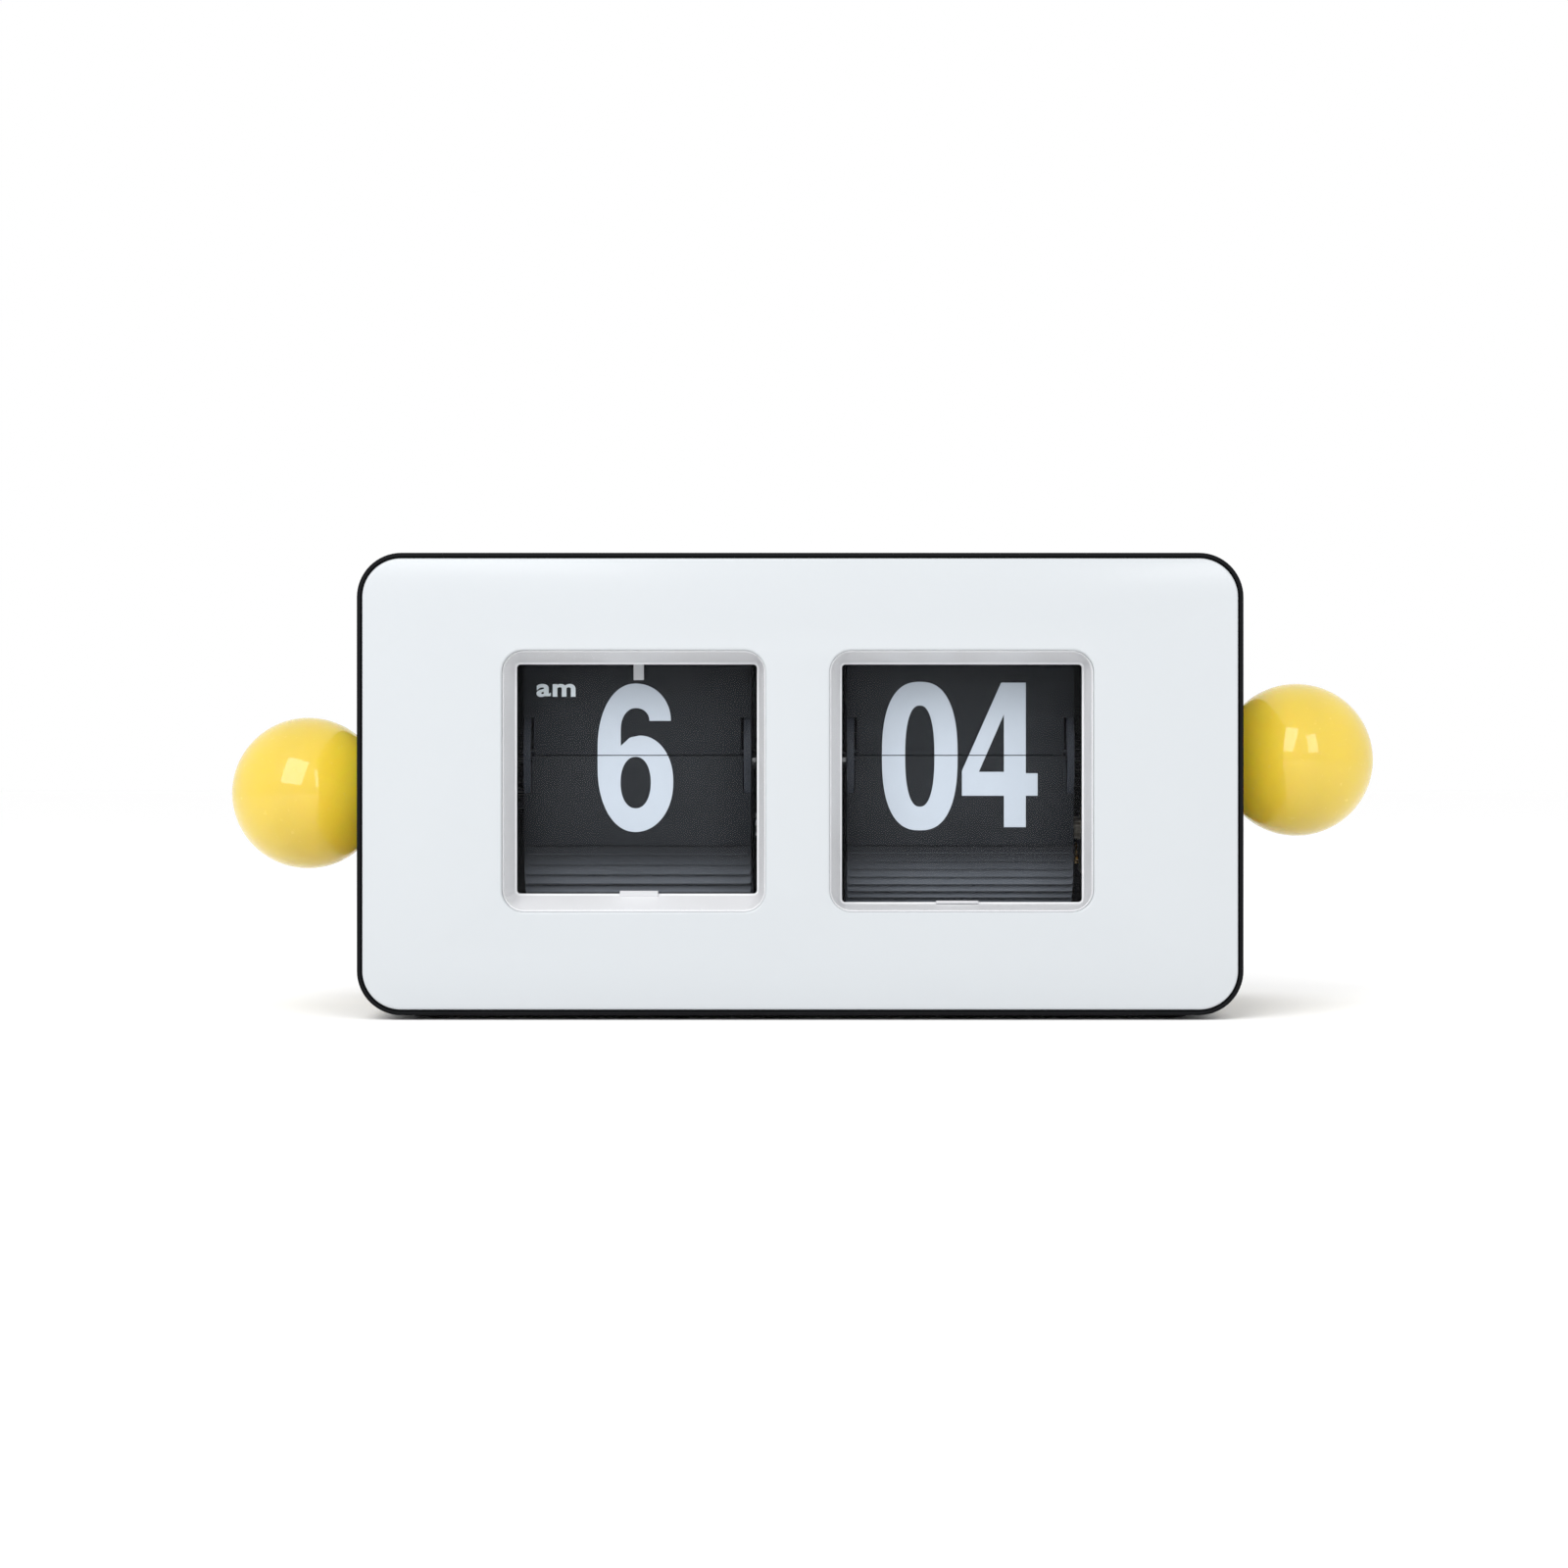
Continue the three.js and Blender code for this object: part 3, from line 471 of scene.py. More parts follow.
def moved(bm, x, y, z):
    bmesh.ops.translate(bm, vec=(x, y, z), verts=bm.verts)
    return bm


def turnRound(bm):
    # a piece turned about the X axis, its ends swapped
    bmesh.ops.rotate(bm, verts=bm.verts, cent=(0, 0, 0), matrix=Matrix.Rotation(math.pi, 3, "Z"))


def middle(node):
    low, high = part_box(node)
    return [(a + b) / 2 for a, b in zip(low, high)]


def loopAt(bm, outline, y):
    verts = [bm.verts.new((x, y, z)) for x, z in outline]
    return [bm.edges.new((a, b)) for a, b in zip(verts, verts[1:] + verts[:1])]


def ringBody(outlines):
    # a closed ring through (outline, y) loops, bridged one to the next
    bm = bmesh.new()
    loops = [loopAt(bm, outline, y) for outline, y in outlines]
    for a, b in zip(loops, loops[1:] + loops[:1]):
        bmesh.ops.bridge_loops(bm, edges=a + b)
    bmesh.ops.recalc_face_normals(bm, faces=bm.faces)
    return bm


# case, panel and windows
shellLow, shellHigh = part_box("case_shell")
panelLow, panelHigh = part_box("face_panel")
shellSizes = {"corner": 9.1 * mm, "wall": 2.2 * mm, "rim": 0.9 * mm, "ledgeGap": 0.3 * mm, "edge": 0.35 * mm}
bodyWidth = shellHigh[0] - shellLow[0]
bodyHeight = shellHigh[2] - shellLow[2]
bodyZ = (shellHigh[2] + shellLow[2]) / 2


def shellOutline(inset):
    corner = shellSizes["corner"] - inset
    return roundedOutline(bodyWidth - 2 * inset, bodyHeight - 2 * inset, corner, 0, bodyZ, 16)


def buildShell():
    front, rear = shellLow[1], shellHigh[1]
    ledge = panelHigh[1] + shellSizes["ledgeGap"]
    rim, wall = shellSizes["rim"], shellSizes["wall"]
    bm = ringBody(
        [
            (shellOutline(0), front),
            (shellOutline(0), rear),
            (shellOutline(wall), rear),
            (shellOutline(wall), ledge),
            (shellOutline(rim), ledge),
            (shellOutline(rim), front),
        ]
    )
    edge = (shellSizes["edge"], 3)
    settle("case_shell_skin", bm, "caseBlack", "case", ["case_shell"], 30, edge)


buildShell()

windowSizes = {
    "width": 53.8 * mm,
    "height": 53.3 * mm,
    "corner": 4.4 * mm,
    "rise": 0.6 * mm,
    "x": {"hour": -34 * mm, "minute": 33 * mm},
    "throatX": {"hour": -33.8 * mm, "minute": 33.5 * mm},
    "throatWidth": 49.7 * mm,
    "throatTop": 24.75 * mm,
    "throatBottom": {"hour": 22.7 * mm, "minute": 24.45 * mm},
    "throatCorner": 0.7 * mm,
    # each tab's x, half its width and half its height
    "tab": {"hour": (-33.35 * mm, 3.95 * mm, 0.6 * mm), "minute": (32.5 * mm, 4.4 * mm, 0.3 * mm)},
}
windowZ = bodyZ + windowSizes["rise"]


def windowOutline(unit, inset, steps=12):
    w = windowSizes
    width = w["width"] - 2 * inset
    height = w["height"] - 2 * inset
    return roundedOutline(width, height, w["corner"] - inset, w["x"][unit], windowZ, steps)


panelSizes = {"thick": 2 * mm, "edge": 0.55 * mm, "corner": 7.95 * mm}


def buildPanel():
    p = panelSizes
    width = panelHigh[0] - panelLow[0]
    height = panelHigh[2] - panelLow[2]
    outer = roundedOutline(width, height, p["corner"], 0, bodyZ, 20)
    openings = [windowOutline(unit, 0) for unit in units]
    plate = sheetMesh([outer] + openings, p["thick"], p["edge"], 4)
    standUp(plate, (panelLow[1] + panelHigh[1]) / 2)
    settle("face_panel_skin", plate, "panelWhite", "case", ["face_panel"], 50)


buildPanel()

bezelSizes = {
    "flange": 2.4 * mm,
    "flangeBack": 2 * mm,
    "mouthInset": 0.15 * mm,
    "lip": 0.7 * mm,
    "lipSlope": 0.25 * mm,
    "lipFlare": 0.35 * mm,
    "wall": 1.6 * mm,
    "tabDepth": 1.4 * mm,
    "tabIn": 0.9 * mm,
    "edge": 0.12 * mm,
}


def buildBezel(unit):
    w = windowSizes
    b = bezelSizes
    low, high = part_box(unit + "_bezel")
    below = w["throatBottom"][unit]
    throatHeight = w["throatTop"] + below
    throatZ = bodyZ + (w["throatTop"] - below) / 2

    def throat(grow):
        across = w["throatWidth"] + 2 * grow
        up = throatHeight + 2 * grow
        return roundedOutline(across, up, w["throatCorner"] + grow, w["throatX"][unit], throatZ, 8)

    width = high[0] - low[0]
    height = high[2] - low[2]
    flange = roundedOutline(width, height, w["corner"] + b["flange"], w["x"][unit], windowZ, 8)
    mouth = windowOutline(unit, b["mouthInset"], 8)
    lip = high[1] - b["lip"]
    bm = ringBody(
        [
            (flange, low[1]),
            (mouth, low[1]),
            (throat(b["lipFlare"]), lip - b["lipSlope"]),
            (throat(0), lip),
            (throat(0), high[1]),
            (throat(b["wall"]), high[1]),
            (flange, low[1] + b["flangeBack"]),
        ]
    )
    x, half, rise = w["tab"][unit]
    tab = bmesh.ops.create_cube(bm, size=1)["verts"]
    bmesh.ops.scale(bm, vec=(2 * half, b["tabDepth"], 2 * rise), verts=tab)
    bmesh.ops.translate(bm, vec=(x, high[1] - b["tabIn"], bodyZ - below), verts=tab)
    for face in {face for vert in tab for face in vert.link_faces}:
        face.material_index = 1
    edge = (b["edge"], 2)
    settle(unit + "_bezel_skin", bm, "bezelGrey tabGrey", "case", [unit + "_bezel"], 28, edge)


lensSizes = {"gap": 0.3 * mm, "edge": 0.3 * mm}


def buildLens(unit):
    low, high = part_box(unit + "_lens")
    outline = windowOutline(unit, lensSizes["gap"])
    plate = sheetMesh([outline], high[1] - low[1], lensSizes["edge"], 3)
    standUp(plate, (low[1] + high[1]) / 2)
    settle(unit + "_lens_skin", plate, "lensClear", "case", [unit + "_lens"])


for unit in units:
    buildBezel(unit)
for unit in units:
    buildLens(unit)
print("case, panel, bezels and lenses")

# leaves
leafSizes = {
    "half": 24 * mm,
    "reach": 18.15 * mm,
    "root": 0.8 * mm,
    "thick": 0.3 * mm,
    "corner": 0.9 * mm,
    "notchReach": 7.1 * mm,
    "notchHalf": 21.9 * mm,
    "behindPin": 0.15 * mm,
    "pin": 0.4 * mm,
    "pinTip": 23.3 * mm,
    "circle": 17 * mm,
    "pinOverlap": 0.4 * mm,
    # height of the painted shadow strip at a hanging leaf's lower edge
    "cutEdge": 0.18 * mm,
    "edge": 0.06 * mm,
    "pinStep": 1.8 * mm,  # from the front leaf's pins down to the lower leaf's
    "nextStep": 0.6 * mm,  # the next leaf stands this far behind and starts this far up
    "lowerNotch": 0.4 * mm,
    "lowerPin": 0.2 * mm,
    "stackRoot": 0.1 * mm,
    "stackThick": 0.22 * mm,
    "stackGap": 0.15 * mm,
    "stackStep": 0.3 * mm,
    "backGap": 0.15 * mm,
    "slack": {"hour": 0.009, "minute": 0.0},  # extra turn of the hanging leaves, in radians
}
joints = {joint["name"]: joint for joint in frame["record"]["behaviour"]["joints"]}
flipAt = {unit: joints[unit + "_leaf_flip"]["pos_m"] for unit in units}
drumAt = joints["minute_drum_spin"]["pos_m"]
leafCount = {"hour": 48, "minute": 60}


def cornerPoints(x, z, radius, sx, steps):
    turns = [math.pi / 2 * i / steps for i in range(steps + 1)]
    points = [(x - sx * radius * (1 - math.cos(t)), z - radius * (1 - math.sin(t))) for t in turns]
    return points if sx > 0 else points[::-1]


def leafOutline(root, notchHalf, steps):
    s = leafSizes
    half, reach, notchReach = s["half"], s["reach"], s["notchReach"]
    right = [(notchHalf, root), (notchHalf, notchReach), (half, notchReach)]
    rightCorner = cornerPoints(half, reach, s["corner"], 1, steps)
    leftCorner = cornerPoints(-half, reach, s["corner"], -1, steps)
    left = [(-half, notchReach), (-notchHalf, notchReach), (-notchHalf, root)]
    return right + rightCorner + leftCorner + left


def leafMesh(root, notchHalf, pinFrom=None):
    s = leafSizes
    bm = sheetMesh([leafOutline(root, notchHalf, 6)], s["thick"], s["edge"], 2)
    standUp(bm, s["behindPin"] + s["thick"] / 2)
    if pinFrom:
        length = s["pinTip"] - pinFrom
        for side in (-1, 1):
            pin = bmesh.ops.create_cone(
                bm, cap_ends=True, segments=20, radius1=s["pin"], radius2=s["pin"], depth=length
            )["verts"]
            bmesh.ops.rotate(bm, verts=pin, matrix=Matrix.Rotation(math.pi / 2, 3, "Y"))
            bmesh.ops.translate(bm, verts=pin, vec=(side * (pinFrom + length / 2), 0, 0))
    return bm


def buildLeaves(unit):
    s = leafSizes
    x, y, z = flipAt[unit]
    half = s["notchHalf"]
    front = moved(leafMesh(-s["root"], half, half - s["pinOverlap"]), x, y, z)
    flap = unit + "_flap"
    settle(unit + "_front_leaf_skin", front, "leafBlack", flap, [unit + "_front_leaf"])
    following = moved(leafMesh(s["nextStep"], half), x, y + s["nextStep"], z)
    settle(unit + "_next_leaf_skin", following, "leafBlack", "case", [unit + "_next_leaf"])
    lower = leafMesh(-s["root"], half + s["lowerNotch"], half + s["lowerPin"])
    bmesh.ops.scale(lower, vec=(1, 1, -1), verts=lower.verts)
    bmesh.ops.reverse_faces(lower, faces=lower.faces)
    moved(lower, x, y, z - s["pinStep"])
    settle(unit + "_lower_leaf_skin", lower, "leafBlack", "case", [unit + "_lower_leaf"])


def paintEdgeShadow(bm, z):
    # the lower edge of a hanging leaf gets a thin dark strip: painted shadow in the gap between the leaves
    geometry = bm.verts[:] + bm.edges[:] + bm.faces[:]
    bmesh.ops.bisect_plane(bm, geom=geometry, plane_co=(0, 0, z), plane_no=(0, 0, 1))
    for face in bm.faces:
        face.material_index = 1 if face.calc_center_median().z < z else 0


def buildPack(unit):
    # every other leaf of the drum: upright or laid back over the top, and hanging under it
    s = leafSizes
    count = leafCount[unit]
    x, _, flipZ = flipAt[unit]
    low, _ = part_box(unit + "_leaf_pack")
    stepTurn = 2 * math.pi / count
    frontTurn = math.asin((flipZ - drumAt[2]) / s["circle"])
    bm = bmesh.new()
    for i in range(2, count - 1):
        turn = frontTurn + i * stepTurn
        hanging = turn > math.pi
        lean = turn
        behind = i - 1
        if hanging:  # measured back from the lower leaf
            behind = count - 1 - i
            turn = 2 * math.pi - behind * stepTurn + s["slack"][unit]
            lean = math.pi
        pinY = drumAt[1] - s["circle"] * math.cos(turn)
        pinY = max(pinY, low[1] + s["stackGap"] + s["stackStep"] * (behind - 1))
        pinZ = drumAt[2] + s["circle"] * math.sin(turn)
        one = standUp(sheetMesh([leafOutline(s["stackRoot"], s["notchHalf"], 2)], s["stackThick"]), 0)
        bmesh.ops.rotate(one, verts=one.verts, cent=(0, 0, 0), matrix=Matrix.Rotation(-lean, 3, "X"))
        moved(one, x, pinY, pinZ)
        if hanging:
            # a painted shadow strip along the leaf's lower edge
            paintEdgeShadow(one, pinZ - s["reach"] + s["cutEdge"])
        addTo(bm, one)
    settle(unit + "_leaf_stack", bm, "leafStack leafEdge", "case", [unit + "_leaf_pack"], 30)


for unit in units:
    buildLeaves(unit)
    buildPack(unit)
print("leaves:", sum(leafCount.values()))

# numerals, drawn about the middle of a figure
figure = {
    "width": 16.0,
    "height": 31.4,
    "four": 30.54,
    "fourStem": 4.62,
    "stem": 4.9,
    "cap": 5.0,
    "bar": 4.75,
    "ink": 0.04 * mm,
    "proud": 0.4,  # share of the ink that stands out of the leaf
}


def swell(cx, cz, a, b, start, end, power=2.45, steps=14):
    # part of a squared ellipse, angles in quarters of a turn
    points = []
    for i in range(steps + 1):
        turn = math.pi / 2 * (start + (end - start) * i / steps)
        c, s = math.cos(turn), math.sin(turn)
        across = a * math.copysign(abs(c) ** (2 / power), c)
        up = b * math.copysign(abs(s) ** (2 / power), s)
        points.append((cx + across, cz + up))
    return points


def figureZero():
    a, b = figure["width"] / 2, figure["height"] / 2
    return [
        swell(0, 0, a, b, 0, 4, 2.5, 64)[:-1],
        swell(0, 0, a - figure["stem"], b - figure["cap"], 0, 4, 2.4, 48)[:-1],
    ]


def figureFour():
    a, b = figure["width"] / 2, figure["four"] / 2
    right = a - 2.5
    left = right - figure["fourStem"]
    barLow = 6.64 - b
    barTop = barLow + figure["bar"]
    outer = [
        (left - 0.6, b),
        (right, b),
        (right, barTop),
        (a, barTop),
        (a, barLow),
        (right, barLow),
        (right, -b),
        (left, -b),
        (left, barLow),
        (-a, barLow),
        (-a, barTop + 0.5),
    ]
    counter = [(left, b - 6.7), (left, barTop + 0.3), (left - 5.3, barTop + 0.3)]
    return [outer, counter]


def figureSix():
    a, b = figure["width"] / 2, figure["height"] / 2
    stem = figure["stem"]
    armZ = b - 7.9  # cut end of the top arm
    neckZ = b - 9.7
    bowlTop = b - 11.0
    outer = swell(0, armZ, a - 0.5, b - armZ, 0, 1, 2.05)
    outer += swell(0, 2.2, a, b - 2.2, 1, 2, 2.1)
    outer += swell(0, -2.2, a, b - 2.2, 2, 3, 2.1)
    outer += swell(0, -b + 10.4, a, 10.4, 3, 4, 2.05)
    outer += swell(0.9, bowlTop - 9.6, a - 0.9, 9.6, 0, 1, 2.05)
    outer += [(-1.2, bowlTop - 0.45), (stem - a, bowlTop - 2.2), (stem - a, neckZ)]
    outer += swell(0.1, neckZ, a - stem + 0.1, b - 5.2 - neckZ, 2, 1, 2.1)
    outer += swell(0.1, armZ, 2.85, b - 5.2 - armZ, 1, 0, 2.1)
    counter = swell(0.05, -b + 10.45, a - stem + 0.1, 5.45, 0, 4, 2.15, 48)[:-1]
    return [outer, counter]


def figureFive():
    a, b = figure["width"] / 2, figure["height"] / 2
    stem, cap = figure["stem"], figure["cap"]
    waist = 2.2
    outer = [(a - 0.9, b), (a - 0.9, b - cap), (stem - a + 0.5, b - cap), (stem - a + 0.2, waist + 1.2)]
    outer += swell(0.6, waist - 9.0, a - 0.6, 11.2, 1, 0)
    outer += swell(0.0, -b + 9.4, a, 9.4, 4, 3)
    outer += swell(0.0, -b + 8.3, a, 8.3, 3, 2)
    outer += [(stem - a, -b + 8.3)]
    outer += swell(0.0, -b + 8.3, a - stem, 8.3 - cap, 2, 3)
    outer += swell(0.0, -b + 9.6, a - stem, 9.6 - cap, 3, 4)
    outer += swell(0.0, waist - 8.6, a - stem, 6.6, 0, 1)
    outer += [(stem - a - 0.2, waist - 3.2), (-a + 0.4, waist - 3.0), (-a + 0.8, b)]
    return [outer]


def figureSeven():
    a, b = figure["width"] / 2, figure["height"] / 2
    cap = figure["cap"]
    return [[(-a, b), (a, b), (a, b - cap), (-0.4, -b), (-5.6, -b), (a - 5.4, b - cap), (-a, b - cap)]]


figures = {"0": figureZero, "4": figureFour, "5": figureFive, "6": figureSix, "7": figureSeven}
printing = {
    "hour": {"now": [("6", -34.82)], "next": [("7", -34.82)]},
    "minute": {"now": [("0", 25.29), ("4", 42.2)], "next": [("0", 25.29), ("5", 42.2)]},
    "height": {"0": 54.15, "4": 54.4, "5": 54.3, "6": 53.8, "7": 54.2},
    "half": {"text": "am", "size": 5.25, "x": -55.72, "z": 66.85, "bolder": 0.15, "widen": 1.3, "gap": 1.08},
}


def figureMesh(symbol, x, z):
    outlines = [[((x + px) * mm, (z + pz) * mm) for px, pz in part] for part in figures[symbol]()]
    return sheetMesh(outlines, figure["ink"])


def halfDayMesh():
    h = printing["half"]
    text = bpy.data.curves.new("half day", "FONT")
    text.body = h["text"]
    text.size = h["size"] * mm
    text.offset = h["bolder"] * mm
    text.extrude = figure["ink"] / 2
    text.space_character = h["gap"]
    holder = bpy.data.objects.new("half day", text)
    bpy.context.scene.collection.objects.link(holder)
    made = bpy.data.meshes.new_from_object(holder.evaluated_get(bpy.context.evaluated_depsgraph_get()))
    bpy.data.objects.remove(holder)
    bm = bmesh.new()
    bm.from_mesh(made)
    bpy.data.meshes.remove(made)
    bmesh.ops.remove_doubles(bm, verts=bm.verts, dist=1e-7)
    bmesh.ops.scale(bm, vec=(h["widen"], 1, 1), verts=bm.verts)
    bmesh.ops.translate(bm, vec=(h["x"] * mm, h["z"] * mm, 0), verts=bm.verts)
    bmesh.ops.recalc_face_normals(bm, faces=bm.faces)
    return bm


def numberMesh(unit, when):
    bm = bmesh.new()
    for symbol, x in printing[unit][when]:
        addTo(bm, figureMesh(symbol, x, printing["height"][symbol]))
    if unit == "hour":
        small = halfDayMesh()
        # the half-day mark takes the second ink, painted lighter
        for face in small.faces:
            face.material_index = 1
        addTo(bm, small)
    return standUp(bm, 0)


def cut(bm, z, keepAbove):
    geometry = bm.verts[:] + bm.edges[:] + bm.faces[:]
    at = {"plane_co": (0, 0, z), "plane_no": (0, 0, 1)}
    bmesh.ops.bisect_plane(bm, geom=geometry, clear_inner=keepAbove, clear_outer=not keepAbove, **at)
    bmesh.ops.holes_fill(bm, edges=[edge for edge in bm.edges if edge.is_boundary])
    return bm


def buildNumbers(unit):
    s = leafSizes
    _, y, z = flipAt[unit]
    upperEdge = z - s["root"]
    lowerEdge = z - s["pinStep"] + s["root"]
    ink = figure["proud"] * figure["ink"]
    face = y + s["behindPin"]
    proud = face - ink
    upper = moved(cut(numberMesh(unit, "now"), upperEdge, True), 0, proud, 0)
    settle(unit + "_number_upper", upper, "inkWhite inkBright", unit + "_flap")
    lower = moved(cut(numberMesh(unit, "now"), lowerEdge, False), 0, proud, 0)
    settle(unit + "_number_lower", lower, "inkWhite", "case")
    nextUpper = moved(cut(numberMesh(unit, "next"), z + s["nextStep"], True), 0, proud + s["nextStep"], 0)
    settle(unit + "_number_next", nextUpper, "inkWhite inkBright", "case")
    # the lower half of the next number is on the back of the front leaf, upside down
    back = moved(cut(numberMesh(unit, "next"), z + s["root"] - s["backGap"], False), 0, 0, -z)
    bmesh.ops.rotate(back, verts=back.verts, cent=(0, 0, 0), matrix=Matrix.Rotation(math.pi, 3, "X"))
    moved(back, 0, face + s["thick"] + ink, z)
    settle(unit + "_number_back", back, "inkWhite", unit + "_flap")


for unit in units:
    buildNumbers(unit)
print("numbers")

# drums and gears
drumSizes = {
    "radius": 17.9 * mm,
    "holeCircle": 17 * mm,
    "hole": 0.55 * mm,
    "bore": 2.3 * mm,
    "windows": 6,
    "window": 3.2 * mm,
    "windowCircle": 11.2 * mm,
    "hub": 6 * mm,
    "hubWaist": 5 * mm,
    "flange": 1.6 * mm,
    "shoulder": 2.2 * mm,
    "hubEdge": 0.2 * mm,
}


def buildDisc(unit, side):
    node = unit + "_disc_" + side
    low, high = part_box(node)
    d = drumSizes
    count = leafCount[unit]
    outlines = [circleOutline(d["radius"], 0, 0, 120), circleOutline(d["bore"], 0, 0, 24)]
    for i in range(count):
        turn = 2 * math.pi * (i + 0.5) / count
        outlines.append(circleOutline(d["hole"], *onCircle(d["holeCircle"], turn), 8))
    for i in range(d["windows"]):
        turn = 2 * math.pi * i / d["windows"]
        outlines.append(circleOutline(d["window"], *onCircle(d["windowCircle"], turn), 24))
    bm = faceAlongX(sheetMesh(outlines, high[0] - low[0]), (low[0] + high[0]) / 2)
    moved(bm, 0, drumAt[1], drumAt[2])
    settle(node + "_skin", bm, "drumGrey", unit + "_drum", [node])


def buildHub(unit):
    node = unit + "_hub"
    low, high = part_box(node)
    d = drumSizes
    half = (high[0] - low[0]) / 2
    profile = [
        (-half, d["bore"]),
        (-half, d["hub"]),
        (-half + d["flange"], d["hub"]),
        (-half + d["shoulder"], d["hubWaist"]),
        (half - d["shoulder"], d["hubWaist"]),
        (half - d["flange"], d["hub"]),
        (half, d["hub"]),
        (half, d["bore"]),
    ]
    bm = moved(turnedAboutX(profile, 48), (low[0] + high[0]) / 2, drumAt[1], drumAt[2])
    settle(node + "_skin", bm, "drumGrey", unit + "_drum", [node], 30, (d["hubEdge"], 2))


for unit in units:
    buildHub(unit)
    for side in ("left", "right"):
        buildDisc(unit, side)

# one tooth: modules out from the pitch circle, and share of a tooth's step
toothShape = [
    (-1.1, -0.25),
    (-0.1, -0.17),
    (0.62, -0.105),
    (0.8, -0.06),
    (0.8, 0.06),
    (0.62, 0.105),
    (-0.1, 0.17),
    (-1.1, 0.25),
]
wheelSizes = {"boss": 1.6 * mm, "rim": 1 * mm}


def toothOutline(teeth, module, toothAt):
    pitch = teeth * module / 2
    stepTurn = 2 * math.pi / teeth
    points = []
    for i in range(teeth):
        turn = toothAt + i * stepTurn
        points += [onCircle(pitch + out * module, turn + share * stepTurn) for out, share in toothShape]
    return points


def wheelMesh(low, high, teeth, module, toothAt, bore, windows):
    # a wheel between two x values with lightening windows
    outlines = [toothOutline(teeth, module, toothAt), circleOutline(bore, 0, 0, 24)]
    rootRadius = teeth * module / 2 + toothShape[0][0] * module
    size = (rootRadius - bore - wheelSizes["boss"] - wheelSizes["rim"]) / 2
    for i in range(windows):
        turn = 2 * math.pi * (i + 0.5) / windows
        outlines.append(circleOutline(size, *onCircle(bore + wheelSizes["boss"] + size, turn), 20))
    return faceAlongX(sheetMesh(outlines, high - low), (low + high) / 2)


# teeth, module and first tooth, bore and number of windows, then body, finish and slot
wheels = {
    "minute_drive_wheel": (40, 0.6, -math.pi / 2, 2.3, 5, "minute_drum", "gearBlack", "gear_black"),
    "hour_wheel": (48, 0.5, -math.pi / 2 + math.pi / 48, 2.3, 5, "hour_drum", "gearBlack", "gear_black"),
    "transfer_wheel": (32, 0.7, math.pi / 2 + math.pi / 32, 1.3, 5, "transfer", "gearNatural", "gear_white"),
}
for node, (teeth, module, toothAt, bore, windows, body, finish, slotName) in wheels.items():
    low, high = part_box(node)
    bm = wheelMesh(low[0], high[0], teeth, module * mm, toothAt, bore * mm, windows)
    moved(bm, 0, (low[1] + high[1]) / 2, (low[2] + high[2]) / 2)
    settle(node + "_skin", bm, finish, body, [node])

knobSizes = {
    "radius": 16.5 * mm,
    "bore": 2.3 * mm,
    "boreDepth": 12 * mm,
    "lip": 3.4 * mm,
    "mouth": 0.3 * mm,
    "mouthStep": 0.1 * mm,
    "arcSteps": 44,
    "turnSteps": 96,
}


def buildKnob(node, body, side):
    k = knobSizes
    r = k["radius"]
    low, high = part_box(node)
    x = high[0] - r if side > 0 else low[0] + r
    start = math.asin(k["lip"] / r)
    ball = []
    for i in range(k["arcSteps"] + 1):
        turn = start + (math.pi - start) * i / k["arcSteps"]
        ball.append((-r * math.cos(turn), max(r * math.sin(turn), 0.0)))
    face = -r * math.cos(start)
    bottom = face + k["boreDepth"]
    bore = [
        (bottom, 0.0),
        (bottom, k["bore"]),
        (face + k["mouth"] + k["mouthStep"], k["bore"]),
        (face + k["mouthStep"], k["bore"] + k["mouth"]),
        (face, k["lip"] - k["mouth"]),
    ]
    bm = turnedAboutX(bore + ball, k["turnSteps"], False)
    if side < 0:
        turnRound(bm)
    spin = joints["minute_drum_spin" if side > 0 else "hour_setter_spin"]["pos_m"]
    moved(bm, x, spin[1], spin[2])
    settle(node + "_skin", bm, "knobYellow", body, [node], 50)


buildKnob("right_knob", "minute_drum", 1)
buildKnob("left_knob", "hour_setter", -1)
print("drums, wheels and knobs")

# rear cover, door, cells, screws and feet
doorSizes = {
    "pin": 1.4 * mm,
    "pinRadius": 0.5 * mm,
    "ribs": 5,
    "rib": (14 * mm, 0.5 * mm, 0.7 * mm),
    "ribPitch": 1.8 * mm,
    "firstRib": 3 * mm,
    "edge": 0.15 * mm,
}
coverSizes = {
    "thick": 2.5 * mm,
    "corner": 6.6 * mm,
    "edge": 0.35 * mm,
    "doorGap": 0.3 * mm,
    "openingCorner": 0.25 * mm,
    "screwHole": 2.9 * mm,
    "seat": 3.1 * mm,
    "seatHole": 1.2 * mm,
    "seatThick": 0.8 * mm,
    "seatIn": 2 * mm,
    "bayIn": 0.6 * mm,
    "bayWall": 1.6 * mm,
    "baySides": (4 * mm, 3.2 * mm),
    "bayCorner": 0.3 * mm,
    "bayOuterCorner": 0.6 * mm,
    "drain": (2 * mm, 1 * mm),
}


